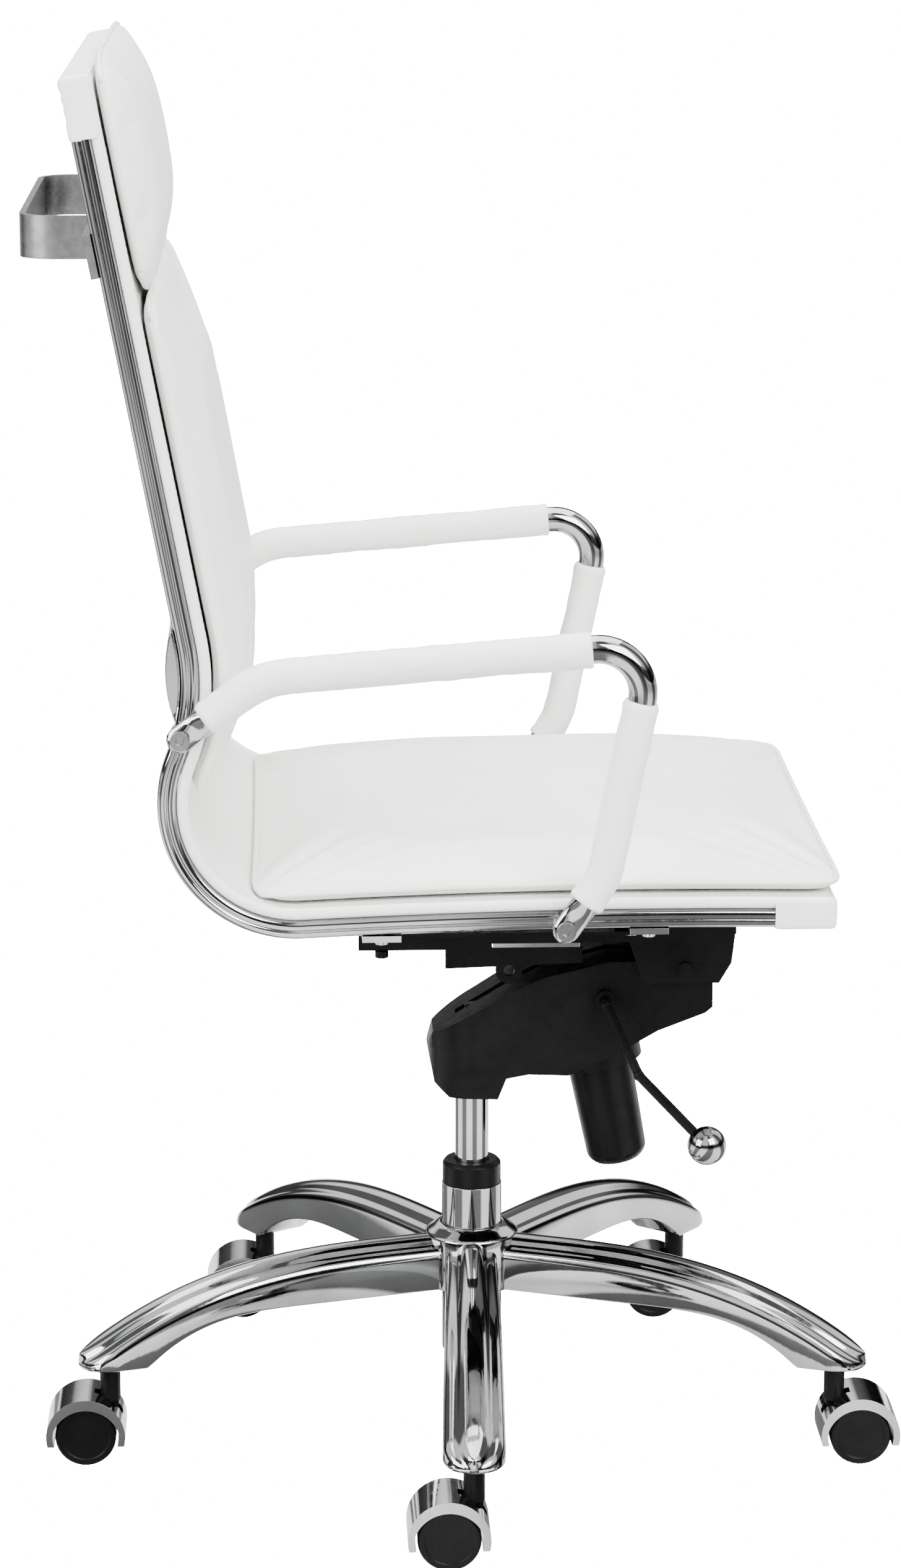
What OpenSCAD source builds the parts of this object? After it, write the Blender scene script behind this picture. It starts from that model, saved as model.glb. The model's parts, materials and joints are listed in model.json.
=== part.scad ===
// Swivel office chair with a high sling back, loop arms and a five-leg base.
// Front is -Y, up is +Z, the sitter's right hand is -X.
// The origin is on the floor, on the axis of the gas column.

/* [Base and column] */
// Distance from the column axis to each caster stem
stem_r = 314; // [280:1:340]
// Height of the hub's underside
hub_z = 118; // [105:1:140]
// Height of the hub
hub_h = 47; // [38:1:56]
// Radius of the hub
hub_r = 39; // [34:1:46]
// Radius of the column's outer tube
tube_r = 25; // [22:0.5:27]
// Height of the outer tube's top edge
tube_top = 206; // [195:1:240]
// Height of the collar on top of the outer tube
collar_h = 20; // [12:1:26]
// Radius of the gas cylinder
gas_r = 14; // [12:0.5:16]
// Bright length of gas cylinder seen at rest
lift_gap = 63; // [58:1:110]
// Turn of the five-leg base about the column
base_turn = -2; // [-36:1:36]

/* [Casters] */
// Radius of a caster wheel
wheel_r = 25; // [22:0.5:30]
// Width of one wheel
wheel_w = 17; // [14:0.5:19]
// Distance from the stem axis back to the wheel axle
caster_trail = 20; // [16:0.5:22]
// Radius of the stem
caster_stem_r = 5.5; // [4.5:0.5:6.5]
// Radius of the axle
caster_axle_r = 4; // [3:0.5:5]

/* [Tilt mechanism] */
// Height of the seat plate above the underside of the tilt housing
mech_h = 156; // [150:1:180]
// Width of the tilt housing at its front
housing_w = 96; // [84:1:110]
// Distance from the column axis forward to the tilt axle
pivot_front = 172; // [160:1:185]
// Radius of the tilt axle
axle_r = 6; // [4:0.5:8]
// Radius of the tension knob
knob_r = 27; // [22:1:29]
// Length of the tension knob
knob_len = 90; // [60:1:95]
// Lean of the tension knob, its lower end forward
knob_lean = 11; // [6:1:16]
// Radius of the lever rod
lever_r = 4; // [3:0.5:5]
// Diameter of the ball on the lever
ball_d = 31; // [24:1:36]

/* [Seat and back frame] */
// Width over the two side rails
frame_w = 516; // [450:1:560]
// Distance from the column axis to the front end of the seat
seat_front = 271; // [240:1:300]
// Distance from the column axis back to the centre of the seat bend
bend_y = 145; // [130:1:165]
// Outer radius of the bend between seat and back
bend_r = 106; // [90:1:120]
// Radius of the lumbar curve of the rails
lumbar_r = 150; // [120:1:200]
// Forward lean of the rails where the lumbar curve begins
lumbar_lean = 22; // [14:1:26]
// Backward lean of the back
recline = 10.7; // [6:0.1:16]
// Length of the straight part of the back rails
back_len = 433; // [360:1:480]
// Width of one rail
rail_w = 20; // [16:1:24]
// Depth of one rail, front to back
rail_d = 15; // [12:1:18]
// Rise from the seat plate to the rails
stretcher_rise = 45; // [35:1:60]

/* [Upholstery] */
// Thickness of the leather sling
sling_t = 9; // [6:0.5:12]
// Width of the pads
pad_w = 490; // [420:1:500]
// Thickness of the seat pad
seat_pad_t = 29; // [22:1:40]
// Thickness of the back pad
back_pad_t = 29; // [22:1:40]
// Thickness of the head pad
head_pad_t = 33; // [24:1:44]
// Height of the head pad
head_pad_h = 182; // [140:1:200]

/* [Arms and handle] */
// Distance between the centres of the two arm tubes
arm_span = 570; // [540:1:620]
// Radius of the arm tube
arm_r = 11; // [9:0.5:13]
// Thickness of the leather arm sleeves
sleeve_t = 2.7; // [1.5:0.1:4]
// Height of the arm tube above the rails at its front end
arm_rise = 225; // [190:1:260]
// Width of the carry handle
handle_w = 330; // [260:1:380]
// Height of the handle's flat bar
handle_h = 33; // [24:1:40]
// Distance the handle stands out behind the rails
handle_out = 62; // [45:1:80]

/* [Hidden] */
$fn = 64;

// Clearances
run_gap = 0.06;     // between a shaft and its bore
rest_gap = 0.3;     // between soft parts and what they lie on
fit_gap = 0.1;      // between parts bolted or glued together
big = 2000;         // reach of cutting tools

// Colours
chrome = "silver";
black = [0.12, 0.12, 0.13];
leather = [0.93, 0.92, 0.9];
steel = [0.6, 0.6, 0.62];

// Column heights
flange_z = 60;
tube_wall = 1.5;
collar_top = tube_top + collar_h;
mech_z = collar_top + lift_gap;
plate_z = mech_z + mech_h;
plate_t = 3;
rail_z = plate_z + plate_t + stretcher_rise;

// ---- side curve of the frame, in (y, z) ----
seat_arc_r = 6100;
seat_fall = 2.6;
bend_z = rail_z - seat_arc_r * (1 - cos(seat_fall)) + bend_r * cos(seat_fall);
bend_c = [bend_y, bend_z];
bend_start = bend_c + bend_r * [-sin(seat_fall), -cos(seat_fall)];
seat_c = bend_start + seat_arc_r * [-sin(seat_fall), -cos(seat_fall)];
lumbar_c = bend_c + (bend_r + lumbar_r) * [cos(lumbar_lean), sin(lumbar_lean)];
back_dir = [sin(recline), cos(recline)];
back_in = [-cos(recline), sin(recline)];
back_start = lumbar_c + lumbar_r * back_in;
// Angle on the seat arc at the place y, and points at a depth inward from the outer line
function seat_a(y) = acos((y - seat_c.x) / seat_arc_r);
function seat_pt(y, d = 0) = seat_c + (seat_arc_r + d) * [cos(seat_a(y)), sin(seat_a(y))];
function back_pt(l, d = 0) = back_start + l * back_dir + d * back_in;

// Depths measured inward from the rails' outer line
sling_in = rail_d + sling_t;
pad_in = sling_in + rest_gap;
wrap_t = 1.5;
wrap_len = 50;
wrap_end = 4;
half_w = frame_w / 2;
rail_x = half_w - rail_w / 2;

// A 2D drawing in (y, z), made into a slab of width w across x and centred on x0
module slab(w, x0 = 0) {
    translate([x0 - w / 2, 0, 0])
        rotate([90, 0, 90])
            linear_extrude(w)
                children();
}

// A bar along x from x0 to x1 at (y, z)
module x_bar(x0, x1, p, r) {
    translate([x0, p.x, p.y])
        rotate([0, 90, 0])
            cylinder(r = r, h = x1 - x0);
}

// Points of the side curve at the depth d, from the place y0 on the seat up the back to l1
seat_steps = 6;
function seat_line(y0, d) = [
    seat_pt(y0, d),
    for (k = [0 : seat_steps])
        seat_pt(-seat_front + wrap_len + (bend_start.x + seat_front - wrap_len) * k / seat_steps, d)
];
function bend_line(a0, d) = [
    for (k = [1 : 20])
        let(a = a0 + (lumbar_lean - a0) * k / 20)
            bend_c + (bend_r - d) * [cos(a), sin(a)]
];
function lumbar_line(d) = [
    for (k = [1 : 8])
        let(a = 180 + lumbar_lean - (lumbar_lean + recline) * k / 8)
            lumbar_c + (lumbar_r + d) * [cos(a), sin(a)]
];
function side_line(y0, l1, d) =
    concat(seat_line(y0, d), bend_line(-90 - seat_fall, d), lumbar_line(d), [back_pt(l1, d)]);
function reversed(v) = [for (i = [len(v) - 1 : -1 : 0]) v[i]];

// Band of the side curve between two depths
module side_band(y0, l1, d0, d1) {
    polygon(concat(side_line(y0, l1, d0), reversed(side_line(y0, l1, d1))));
}

// Short straight bands on the front of the seat and on the back
function front_pt(y, d) =
    let(y0 = -seat_front + wrap_end, y1 = -seat_front + wrap_len, part = (y - y0) / (y1 - y0))
    (1 - part) * seat_pt(y0, d) + part * seat_pt(y1, d);
module front_band(ya, yb, d0, d1) {
    polygon([front_pt(ya, d0), front_pt(yb, d0), front_pt(yb, d1), front_pt(ya, d1)]);
}

module back_band(l0, l1, d0, d1) {
    polygon([back_pt(l0, d0), back_pt(l1, d0), back_pt(l1, d1), back_pt(l0, d1)]);
}

// Local frame on the straight back: +y outward to the rear, +z up along the back
module on_back(l) {
    translate([0, back_pt(l).x, back_pt(l).y])
        rotate([-recline, 0, 0])
            children();
}

// Rectangle with round corners, from exact circles
module round_rect(x0, y0, x1, y1, r) {
    translate([x0 + r, y0])
        square([x1 - x0 - 2 * r, y1 - y0]);
    translate([x0, y0 + r])
        square([x1 - x0, y1 - y0 - 2 * r]);
    for (x = [x0 + r, x1 - r], y = [y0 + r, y1 - r])
        translate([x, y])
            circle(r);
}

// ---- base ----
leg_tip = stem_r + 26;
leg_w_root = 42;
leg_w_tip = 50;
ridge_h = 7;
leg_root = 60;
leg_drop = 71;
leg_low = 81;
socket_z = 78;
neck_top = 75;
stem_in = 23;        // part of a stem held in the caster
stem_up = 22;        // part of a stem held in the leg
function leg_top(r) = hub_z + hub_h - 2
    - leg_drop * pow(max(0, r - leg_root) / (leg_tip - leg_root), 2.8);
function leg_bottom(r) = hub_z + 2
    - (hub_z + 2 - leg_low) * pow(min(1, max(0, r - 150) / (stem_r - 177)), 3.2);
ridge_end = leg_tip - 5;
leg_steps = [20 : 16 : leg_tip - 8];
function leg_a(i) = 180 + base_turn - 72 * (i - 1);
function stem_pos(i) = stem_r * [cos(leg_a(i)), sin(leg_a(i))];

// Side outline of a leg: from a line below its top down to its underside, or as thick as given
module leg_side(cut_top, thick, lift = 0) {
    function top(r) = leg_top(r) - cut_top;
    function low(r) = max(leg_bottom(r) + lift, leg_top(r) - thick);
    over = [for (r = leg_steps) [r, top(r)], [leg_tip, top(leg_tip)], [leg_tip + 5, top(leg_tip)]];
    under = [for (r = leg_steps) [r, low(r)], [leg_tip + 5, low(leg_tip)]];
    back_under = [for (i = [len(under) - 1 : -1 : 0]) under[i]];
    polygon(concat(over, back_under));
}

module leg_plan(w0, w1, tip) {
    end_r = w1 / 2;
    polygon([[15, -w0 / 2], [tip - end_r, -end_r], [tip - end_r, end_r], [15, w0 / 2]]);
    translate([tip - end_r, 0])
        circle(end_r);
}

// Body of the leg, and the narrower ridge standing on it
module leg() {
    ridge_w = 0.6;
    intersection() {
        rotate([90, 0, 0])
            translate([0, 0, -40])
                linear_extrude(80)
                    leg_side(ridge_h, big);
        linear_extrude(200)
            leg_plan(leg_w_root, leg_w_tip, leg_tip);
    }
    intersection() {
        rotate([90, 0, 0])
            translate([0, 0, -40])
                linear_extrude(80)
                    leg_side(0, 16, 1);
        linear_extrude(200)
            leg_plan(ridge_w * leg_w_root, ridge_w * leg_w_tip, ridge_end);
    }
    translate([stem_r, 0, socket_z])
        cylinder(r = 11, h = 16);
}

module base_star() {
    color(chrome)
        difference() {
            union() {
                for (i = [1 : 5])
                    rotate(leg_a(i))
                        leg();
                translate([0, 0, hub_z])
                    cylinder(r = hub_r, h = hub_h);
                translate([0, 0, hub_z + hub_h])
                    cylinder(r1 = hub_r - 2, r2 = tube_r + 3, h = 6);
            }
            translate([0, 0, hub_z - 20])
                cylinder(r = tube_r, h = hub_h + 60);
            for (i = [1 : 5])
                translate([stem_pos(i).x, stem_pos(i).y, socket_z - 1])
                    cylinder(r = caster_stem_r, h = stem_up + 1);
        }
}

module caster_stems() {
    color(steel)
        for (i = [1 : 5])
            translate([stem_pos(i).x, stem_pos(i).y, 0]) {
                translate([0, 0, neck_top - stem_in])
                    cylinder(r = caster_stem_r, h = socket_z + stem_up - neck_top + stem_in);
                translate([0, 0, neck_top + run_gap])
                    cylinder(r = caster_stem_r + 2.5, h = socket_z - neck_top - run_gap);
            }
}

// ---- gas column ----
rod_r = 5;
gas_wall = 2;
gas_bottom = 120;
gas_top = mech_z + 51;
rod_top = 190;
bearing_h = 6;
pin_r = 4;

module outer_tube() {
    color(chrome)
        difference() {
            translate([0, 0, flange_z])
                cylinder(r = tube_r, h = tube_top - flange_z);
            translate([0, 0, flange_z + 2])
                cylinder(r = tube_r - tube_wall, h = tube_top);
            translate([0, 0, flange_z - 1])
                cylinder(r = rod_r + 1, h = 4);
        }
}

module guide_bush() {
    color(black)
        translate([0, 0, tube_top - 50])
            difference() {
                cylinder(r = tube_r - tube_wall, h = 50);
                translate([0, 0, -1])
                    cylinder(r = gas_r + run_gap, h = 52);
            }
}

module tube_collar() {
    color(black)
        translate([0, 0, tube_top])
            difference() {
                union() {
                    cylinder(r = tube_r - 0.5, h = collar_h - 3);
                    translate([0, 0, collar_h - 3])
                        cylinder(r1 = tube_r - 0.5, r2 = tube_r - 3, h = 3);
                }
                translate([0, 0, -1])
                    cylinder(r = gas_r + run_gap, h = collar_h + 2);
            }
}

module piston_rod() {
    color(steel) {
        translate([0, 0, flange_z - 6])
            cylinder(r = rod_r, h = rod_top - flange_z + 6);
        translate([0, 0, rod_top - 8])
            cylinder(r = gas_r - gas_wall - run_gap, h = 8);
    }
}

module thrust_bearing() {
    color(steel)
        translate([0, 0, flange_z + 2 + run_gap])
            difference() {
                cylinder(r = tube_r - 6, h = bearing_h);
                translate([0, 0, -1])
                    cylinder(r = rod_r, h = bearing_h + 2);
            }
}

module bearing_clip() {
    color(steel)
        translate([0, 0, flange_z - 2.2])
            difference() {
                cylinder(r = rod_r + 4, h = 2);
                translate([0, 0, -1])
                    cylinder(r = rod_r, h = 4);
            }
}

module gas_cylinder() {
    color(chrome)
        difference() {
            translate([0, 0, gas_bottom])
                cylinder(r = gas_r, h = gas_top - gas_bottom);
            translate([0, 0, gas_bottom + 10])
                cylinder(r = gas_r - gas_wall, h = gas_top - gas_bottom - 28);
            translate([0, 0, gas_bottom - 1])
                cylinder(r = rod_r + run_gap, h = 12);
            translate([0, 0, gas_top - 20])
                cylinder(r = pin_r + run_gap, h = 21);
        }
}

module valve_pin() {
    color(steel)
        translate([0, 0, gas_top - 12])
            cylinder(r = pin_r, h = 26);
}

// ---- tilt mechanism ----
pivot = [-pivot_front, mech_z + 116];
cam_axis = [-107, mech_z + 88];
cam_r = 8;
cam_arm_w = 8;
cam_gap = 0.4;
pin_top = gas_top + 14;
knob_foot = [-123, mech_z - 64];
cup_r = knob_r + 9;
cup_wall = 5;
housing_half = housing_w / 2;
ear_x = housing_half + 8;
ear_t = 4;

// Local frame on the knob's axis: origin at the knob's lower end, +z up along the axis
module on_knob() {
    translate([0, knob_foot.x, knob_foot.y])
        rotate([-knob_lean, 0, 0])
            children();
}

// Side outline of the tilt housing, front to the left
module housing_side() {
    translate([0, mech_z])
        mirror([1, 0])
            polygon([
                [-20, 0], [-32, 10], [-38, 40], [-33, 53], [-4, 71], [31, 92], [57, 105],
                [110, 119], [pivot_front + 18, 119], [pivot_front + 24, 112],
                [pivot_front + 24, 80], [pivot_front + 18, 75], [151, 60], [120, 42],
                [78, 22], [45, 22], [27, 18], [20, 0]
            ]);
}

module housing_plan() {
    waist = 38;
    circle(waist);
    polygon([
        [-waist, 0], [-housing_half, -90], [-housing_half, -pivot_front - 30],
        [housing_half, -pivot_front - 30], [housing_half, -90], [waist, 0]
    ]);
}

module tilt_housing() {
    color(black)
        difference() {
            union() {
                intersection() {
                    slab(housing_w + 10)
                        housing_side();
                    translate([0, 0, mech_z - 10])
                        linear_extrude(200)
                            housing_plan();
                }
                on_knob()
                    translate([0, 0, knob_len - 2])
                        cylinder(r = cup_r, h = 36);
            }
            // socket for the gas cylinder and way for its valve pin
            translate([0, 0, mech_z - 1])
                cylinder(r = gas_r, h = gas_top - mech_z + 1);
            translate([0, 0, gas_top - 1])
                cylinder(r = pin_r + 2, h = 60);
            // slot for the cam arm
            slab(cam_arm_w + 4)
                translate([0, mech_z])
                    mirror([1, 0])
                        polygon([[-14, 55], [40, 60], [70, 70], [122, 70], [122, 130], [-14, 130]]);
            // spring cup
            on_knob()
                translate([0, 0, knob_len - 5])
                    cylinder(r = cup_r - cup_wall, h = 34);
            // bores for the cam and the tilt axle
            x_bar(-housing_half - 10, 6, cam_axis, cam_r + run_gap);
            x_bar(-housing_half - 10, housing_half + 10, pivot, axle_r);
        }
}

module tilt_axle() {
    color(steel)
        x_bar(-ear_x - ear_t - 3, ear_x + ear_t + 3, pivot, axle_r);
}

// Coil spring as one swept eight-sided wire
spring_turns = 3.5;
spring_wire = 2.5;
spring_len = 22;
spring_r = cup_r - cup_wall - 7;
spring_rings = 60;
function spring_pt(k, j) = let(
        a = 360 * spring_turns * k / spring_rings,
        r = spring_r + spring_wire * cos(45 * j),
        z = spring_len * k / spring_rings + spring_wire * sin(45 * j))
    [r * cos(a), r * sin(a), z];

module tension_spring() {
    pts = [for (k = [0 : spring_rings], j = [0 : 7]) spring_pt(k, j)];
    sides = [for (k = [0 : spring_rings - 1], j = [0 : 7])
        [8 * k + j, 8 * k + (j + 1) % 8, 8 * k + 8 + (j + 1) % 8, 8 * k + 8 + j]];
    ends = [[for (j = [7 : -1 : 0]) j], [for (j = [0 : 7]) 8 * spring_rings + j]];
    color(steel)
        on_knob()
            translate([0, 0, knob_len + 4 - 0.5])
                polyhedron(pts, concat(ends, sides));
}

module tension_knob() {
    color(black)
        on_knob()
            union() {
                translate([0, 0, 7])
                    cylinder(r1 = knob_r - 2, r2 = knob_r, h = knob_len - 7);
                cylinder(r1 = knob_r - 8, r2 = knob_r - 2, h = 7);
                // screw that draws the spring up
                translate([0, 0, knob_len])
                    cylinder(r = 5, h = 26);
            }
}

// Arm from the cam's hub back to the valve pin
module lever_cam() {
    color(steel)
        difference() {
            union() {
                x_bar(-housing_half - 6, 5, cam_axis, cam_r);
                slab(cam_arm_w)
                    polygon([
                        [cam_axis.x, cam_axis.y + cam_r - 1], [cam_axis.x, cam_axis.y - 3],
                        [-8, pin_top + cam_gap], [6, pin_top + cam_gap], [6, pin_top + 6]
                    ]);
            }
            x_bar(-housing_half - 10, 10, cam_axis, lever_r + run_gap);
        }
}

// Round rod between two points in space
module rod(p, q, r) {
    d = q - p;
    flat = norm([d.x, d.y]);
    translate(p)
        rotate([0, atan2(flat, d.z), atan2(d.y, d.x)])
            cylinder(r = r, h = norm(d));
}

knuckle_r = lever_r + 0.6;
lever_out = -housing_half - 20;
lever_knee = [-120, -130, mech_z + 44];
ball_c = [-200, -178, mech_z + 10];

module height_lever() {
    root = [lever_out, cam_axis.x, cam_axis.y];
    color(black) {
        x_bar(lever_out, -3, cam_axis, lever_r);
        translate(root)
            sphere(knuckle_r);
        rod(root, lever_knee, lever_r);
        translate(lever_knee)
            sphere(knuckle_r);
        rod(lever_knee, ball_c - 0.1 * (ball_c - lever_knee), lever_r);
    }
}

module lever_ball() {
    color(chrome)
        difference() {
            translate(ball_c)
                sphere(ball_d / 2);
            rod(lever_knee, ball_c - 0.1 * (ball_c - lever_knee), lever_r);
        }
}

// ---- seat plate, yoke and stretchers ----
plate_rear = 95;
plate_front = 150;
plate_half = 100;
flange_low = mech_z + 134;
slit_z = mech_z + 139;
bolt_y = [80, -126];
bolt_x = 78;
bolt_r = 4;
screw_r = 2.5;
stretcher_w = 30;
stretcher_t = 5;

module seat_plate() {
    ear_front = pivot_front + 42;
    color(black)
        difference() {
            union() {
                translate([-plate_half, -plate_front, plate_z])
                    cube([2 * plate_half, plate_front + plate_rear, plate_t]);
                translate([-ear_x - ear_t, -ear_front, plate_z])
                    cube([2 * (ear_x + ear_t), ear_front - plate_front + 1, plate_t]);
                for (x = [-ear_x - ear_t / 2, ear_x + ear_t / 2])
                    slab(ear_t, x)
                        mirror([1, 0])
                            polygon([
                                [-plate_rear, flange_low], [14, flange_low], [14, slit_z],
                                [126, slit_z], [138, mech_z + 104], [pivot_front + 28, mech_z + 104],
                                [pivot_front + 38, mech_z + 121], [ear_front, plate_z + 1],
                                [-plate_rear, plate_z + 1]
                            ]);
                translate([-ear_x, -ear_front, plate_z - 12])
                    cube([2 * ear_x, 4, 13]);
            }
            x_bar(-ear_x - 10, ear_x + 10, pivot, axle_r + run_gap);
            for (x = [-bolt_x, bolt_x], y = bolt_y)
                translate([x, y, plate_z - 1])
                    cylinder(r = bolt_r, h = plate_t + 2);
        }
}

// Side bars under the plate with a ring lug each
module tilt_yoke() {
    lug = [28, mech_z + 115];
    color(black)
        for (s = [-1, 1])
            difference() {
                slab(ear_t, s * (ear_x - ear_t / 2)) {
                    mirror([1, 0])
                        polygon([
                            [-24, mech_z + 117], [88, mech_z + 121], [88, flange_low],
                            [12, flange_low], [12, plate_z - 2], [-24, plate_z - 2]
                        ]);
                    translate([-lug.x, lug.y])
                        circle(11);
                }
                x_bar(-big, big, [-lug.x, lug.y], 4.5);
            }
}

module link_bars() {
    color(chrome)
        for (s = [-1, 1])
            slab(ear_t, s * (ear_x - ear_t / 2))
                mirror([1, 0])
                    polygon([
                        [15, flange_low + 0.1], [86, flange_low + 0.1],
                        [86, slit_z + 0.5], [15, slit_z + 0.5]
                    ]);
}

module plate_bolts() {
    color(steel)
        for (x = [-bolt_x, bolt_x], y = bolt_y)
            translate([x, y, plate_z]) {
                translate([0, 0, -5])
                    cylinder(r = 6.5, h = 5);
                cylinder(r = bolt_r, h = plate_t + stretcher_t);
                translate([0, 0, plate_t + stretcher_t])
                    cylinder(r = 7, h = 5, $fn = 6);
            }
}

module plate_bumpers() {
    color(black)
        for (s = [-1, 1])
            translate([s * (ear_x + ear_t / 2), 76, flange_low - 6])
                cylinder(r = 5.5, h = 6);
}

// Cranked flat bar that carries the rails at the place y
function stretcher_top(y) =
    min(seat_pt(y - stretcher_w / 2).y, seat_pt(y + stretcher_w / 2).y) - fit_gap;

module stretcher(y) {
    top = stretcher_top(y);
    low = plate_z + plate_t;
    foot = plate_half - 4;
    tab = half_w - rail_w - 40;
    color(chrome)
        difference() {
            translate([0, y + stretcher_w / 2, 0])
                rotate([90, 0, 0])
                    linear_extrude(stretcher_w)
                        polygon([
                            [-half_w + 2, top], [-tab, top], [-foot, low + stretcher_t],
                            [foot, low + stretcher_t], [tab, top], [half_w - 2, top],
                            [half_w - 2, top - stretcher_t], [tab - 2, top - stretcher_t],
                            [foot - 2, low], [-foot + 2, low],
                            [-tab + 2, top - stretcher_t], [-half_w + 2, top - stretcher_t]
                        ]);
            for (s = [-1, 1]) {
                translate([s * bolt_x, y, low - 1])
                    cylinder(r = bolt_r, h = stretcher_t + 2);
                translate([s * rail_x, y, top - 10])
                    cylinder(r = screw_r, h = 12);
            }
        }
}

module stretcher_screws() {
    color(steel)
        for (s = [-1, 1], y = bolt_y)
            translate([s * rail_x, y, stretcher_top(y) - stretcher_t - fit_gap]) {
                translate([0, 0, -3])
                    cylinder(r = 5, h = 3);
                cylinder(r = screw_r, h = stretcher_t + 10);
            }
}

// ---- rails, sling and wraps ----
// Arm fixings on the rails, as (y, z)
foot_pt = [-60, seat_pt(-60).y + rail_d / 2];
lug_pt = lumbar_c + (lumbar_r + 5) * [cos(194), sin(194)];

module rail(s) {
    color(chrome)
        difference() {
            slab(rail_w, s * rail_x)
                side_band(-seat_front + wrap_end, back_len - wrap_end, 0, rail_d);
            for (p = [foot_pt, lug_pt])
                x_bar(s > 0 ? half_w - 12 : -half_w - 1, s > 0 ? half_w + 1 : -half_w + 12, p, 3);
            for (y = bolt_y)
                translate([s * rail_x, y, seat_pt(y).y - 1])
                    cylinder(r = screw_r, h = 11);
        }
}

module sling() {
    color(leather)
        slab(frame_w)
            side_band(-seat_front + wrap_end, back_len - wrap_end, rail_d, sling_in);
}

// Leather cover of the rail ends: a block hollowed for the rails, the sling and the middle.
// The children are five bands of the side curve: block, rail, sling, open middle, underside
module wrap() {
    middle = frame_w - 2 * rail_w - 2 * wrap_t;
    color(leather)
        difference() {
            slab(frame_w + 2 * wrap_t)
                children(0);
            for (s = [-1, 1])
                slab(rail_w, s * rail_x)
                    children(1);
            slab(frame_w)
                children(2);
            slab(middle)
                children(3);
            slab(middle)
                children(4);
        }
}

module top_wrap() {
    l0 = back_len - wrap_len;
    l1 = back_len - wrap_end;
    wrap() {
        back_band(l0, back_len, -wrap_t, sling_in);
        back_band(l0 - 1, l1, 0, rail_d + 1);
        back_band(l0 - 1, l1 + fit_gap, rail_d - fit_gap, sling_in + 1);
        back_band(l0 - 1, l1 - 22, -wrap_t - 1, rail_d + 1);
        back_band(l1 - 23, l1, -wrap_t - 1, 0);
    }
}

module front_wrap() {
    y0 = -seat_front + wrap_end;
    y1 = -seat_front + wrap_len;
    wrap() {
        front_band(-seat_front, y1, -wrap_t, sling_in);
        front_band(y0, y1 + 1, 0, rail_d + 1);
        front_band(y0 - fit_gap, y1 + 1, rail_d - fit_gap, sling_in + 1);
        front_band(y0 + 20, y1 + 1, -wrap_t - 1, rail_d + 1);
        front_band(y0, y0 + 21, -wrap_t - 1, 0);
    }
}

// ---- pads ----
pad_front = seat_front + 4;
pad_rear = 177;
pad_corner = 24;
head_over = 9;
head_l0 = back_len + head_over - head_pad_h;
back_pad_top = head_l0 - 3;
function seat_pad_line(y1, d) = [for (k = [0 : 8]) seat_pt(-pad_front + (pad_front + y1) * k / 8, d)];
// The pad's underside follows the sling into the bend
function seat_pad_heel() = let(
        r = bend_r - pad_in,
        a0 = -90 - seat_fall,
        a1 = -acos((pad_rear - bend_y) / r))
    [for (k = [1 : 6]) let(a = a0 + (a1 - a0) * k / 6) bend_c + r * [cos(a), sin(a)]];

// Each pad is a band of the side curve cut to a round-cornered outline
module seat_pad() {
    w = pad_w / 2;
    color(leather)
        intersection() {
            slab(pad_w)
                polygon(concat(
                    seat_pad_line(bend_start.x, pad_in), seat_pad_heel(),
                    reversed(seat_pad_line(pad_rear, pad_in + seat_pad_t))
                ));
            translate([0, 0, rail_z - 100])
                linear_extrude(300)
                    round_rect(-w, -pad_front, w, pad_rear, pad_corner);
        }
}

module back_pad() {
    w = pad_w / 2;
    color(leather)
        intersection() {
            slab(pad_w)
                polygon(concat(
                    bend_line(4, pad_in), lumbar_line(pad_in), [back_pt(back_pad_top, pad_in)],
                    [back_pt(back_pad_top, pad_in + back_pad_t)],
                    reversed(lumbar_line(pad_in + back_pad_t)),
                    reversed(bend_line(4, pad_in + back_pad_t))
                ));
            translate([0, 500, 0])
                rotate([90, 0, 0])
                    linear_extrude(500)
                        round_rect(-w, bend_line(4, pad_in)[0].y - 8, w,
                                   back_pt(back_pad_top, pad_in).y + 8, pad_corner);
        }
}

module head_pad() {
    w = pad_w / 2;
    color(leather)
        intersection() {
            slab(pad_w)
                back_band(head_l0, head_l0 + head_pad_h, pad_in, pad_in + head_pad_t);
            on_back(head_l0)
                translate([0, 50, 0])
                    rotate([90, 0, 0])
                        linear_extrude(200)
                            round_rect(-w, 0, w, head_pad_h, 30);
        }
}

// ---- handle and brace ----
handle_l = 300;
handle_t = 5;
handle_corner = 28;

module carry_handle() {
    hw = handle_w / 2;
    color(chrome)
        on_back(handle_l) {
            // cross plate behind the rails
            translate([-half_w + 1, 0.1, -handle_h / 2])
                cube([frame_w - 2, 6, handle_h]);
            rotate([recline, 0, 0])
                translate([0, 0, -handle_h / 2 + 4]) {
                    for (s = [-1, 1]) {
                        translate([s > 0 ? hw - handle_t : -hw, 3, 0])
                            cube([handle_t, handle_out - handle_corner - 3, handle_h]);
                        translate([s * (hw - handle_corner), handle_out - handle_corner, 0])
                            rotate(s > 0 ? 0 : 90)
                                rotate_extrude(angle = 90)
                                    translate([handle_corner - handle_t, 0])
                                        square([handle_t, handle_h]);
                    }
                    translate([-hw + handle_corner, handle_out - handle_t, 0])
                        cube([handle_w - 2 * handle_corner, handle_t, handle_h]);
                }
        }
}

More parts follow.
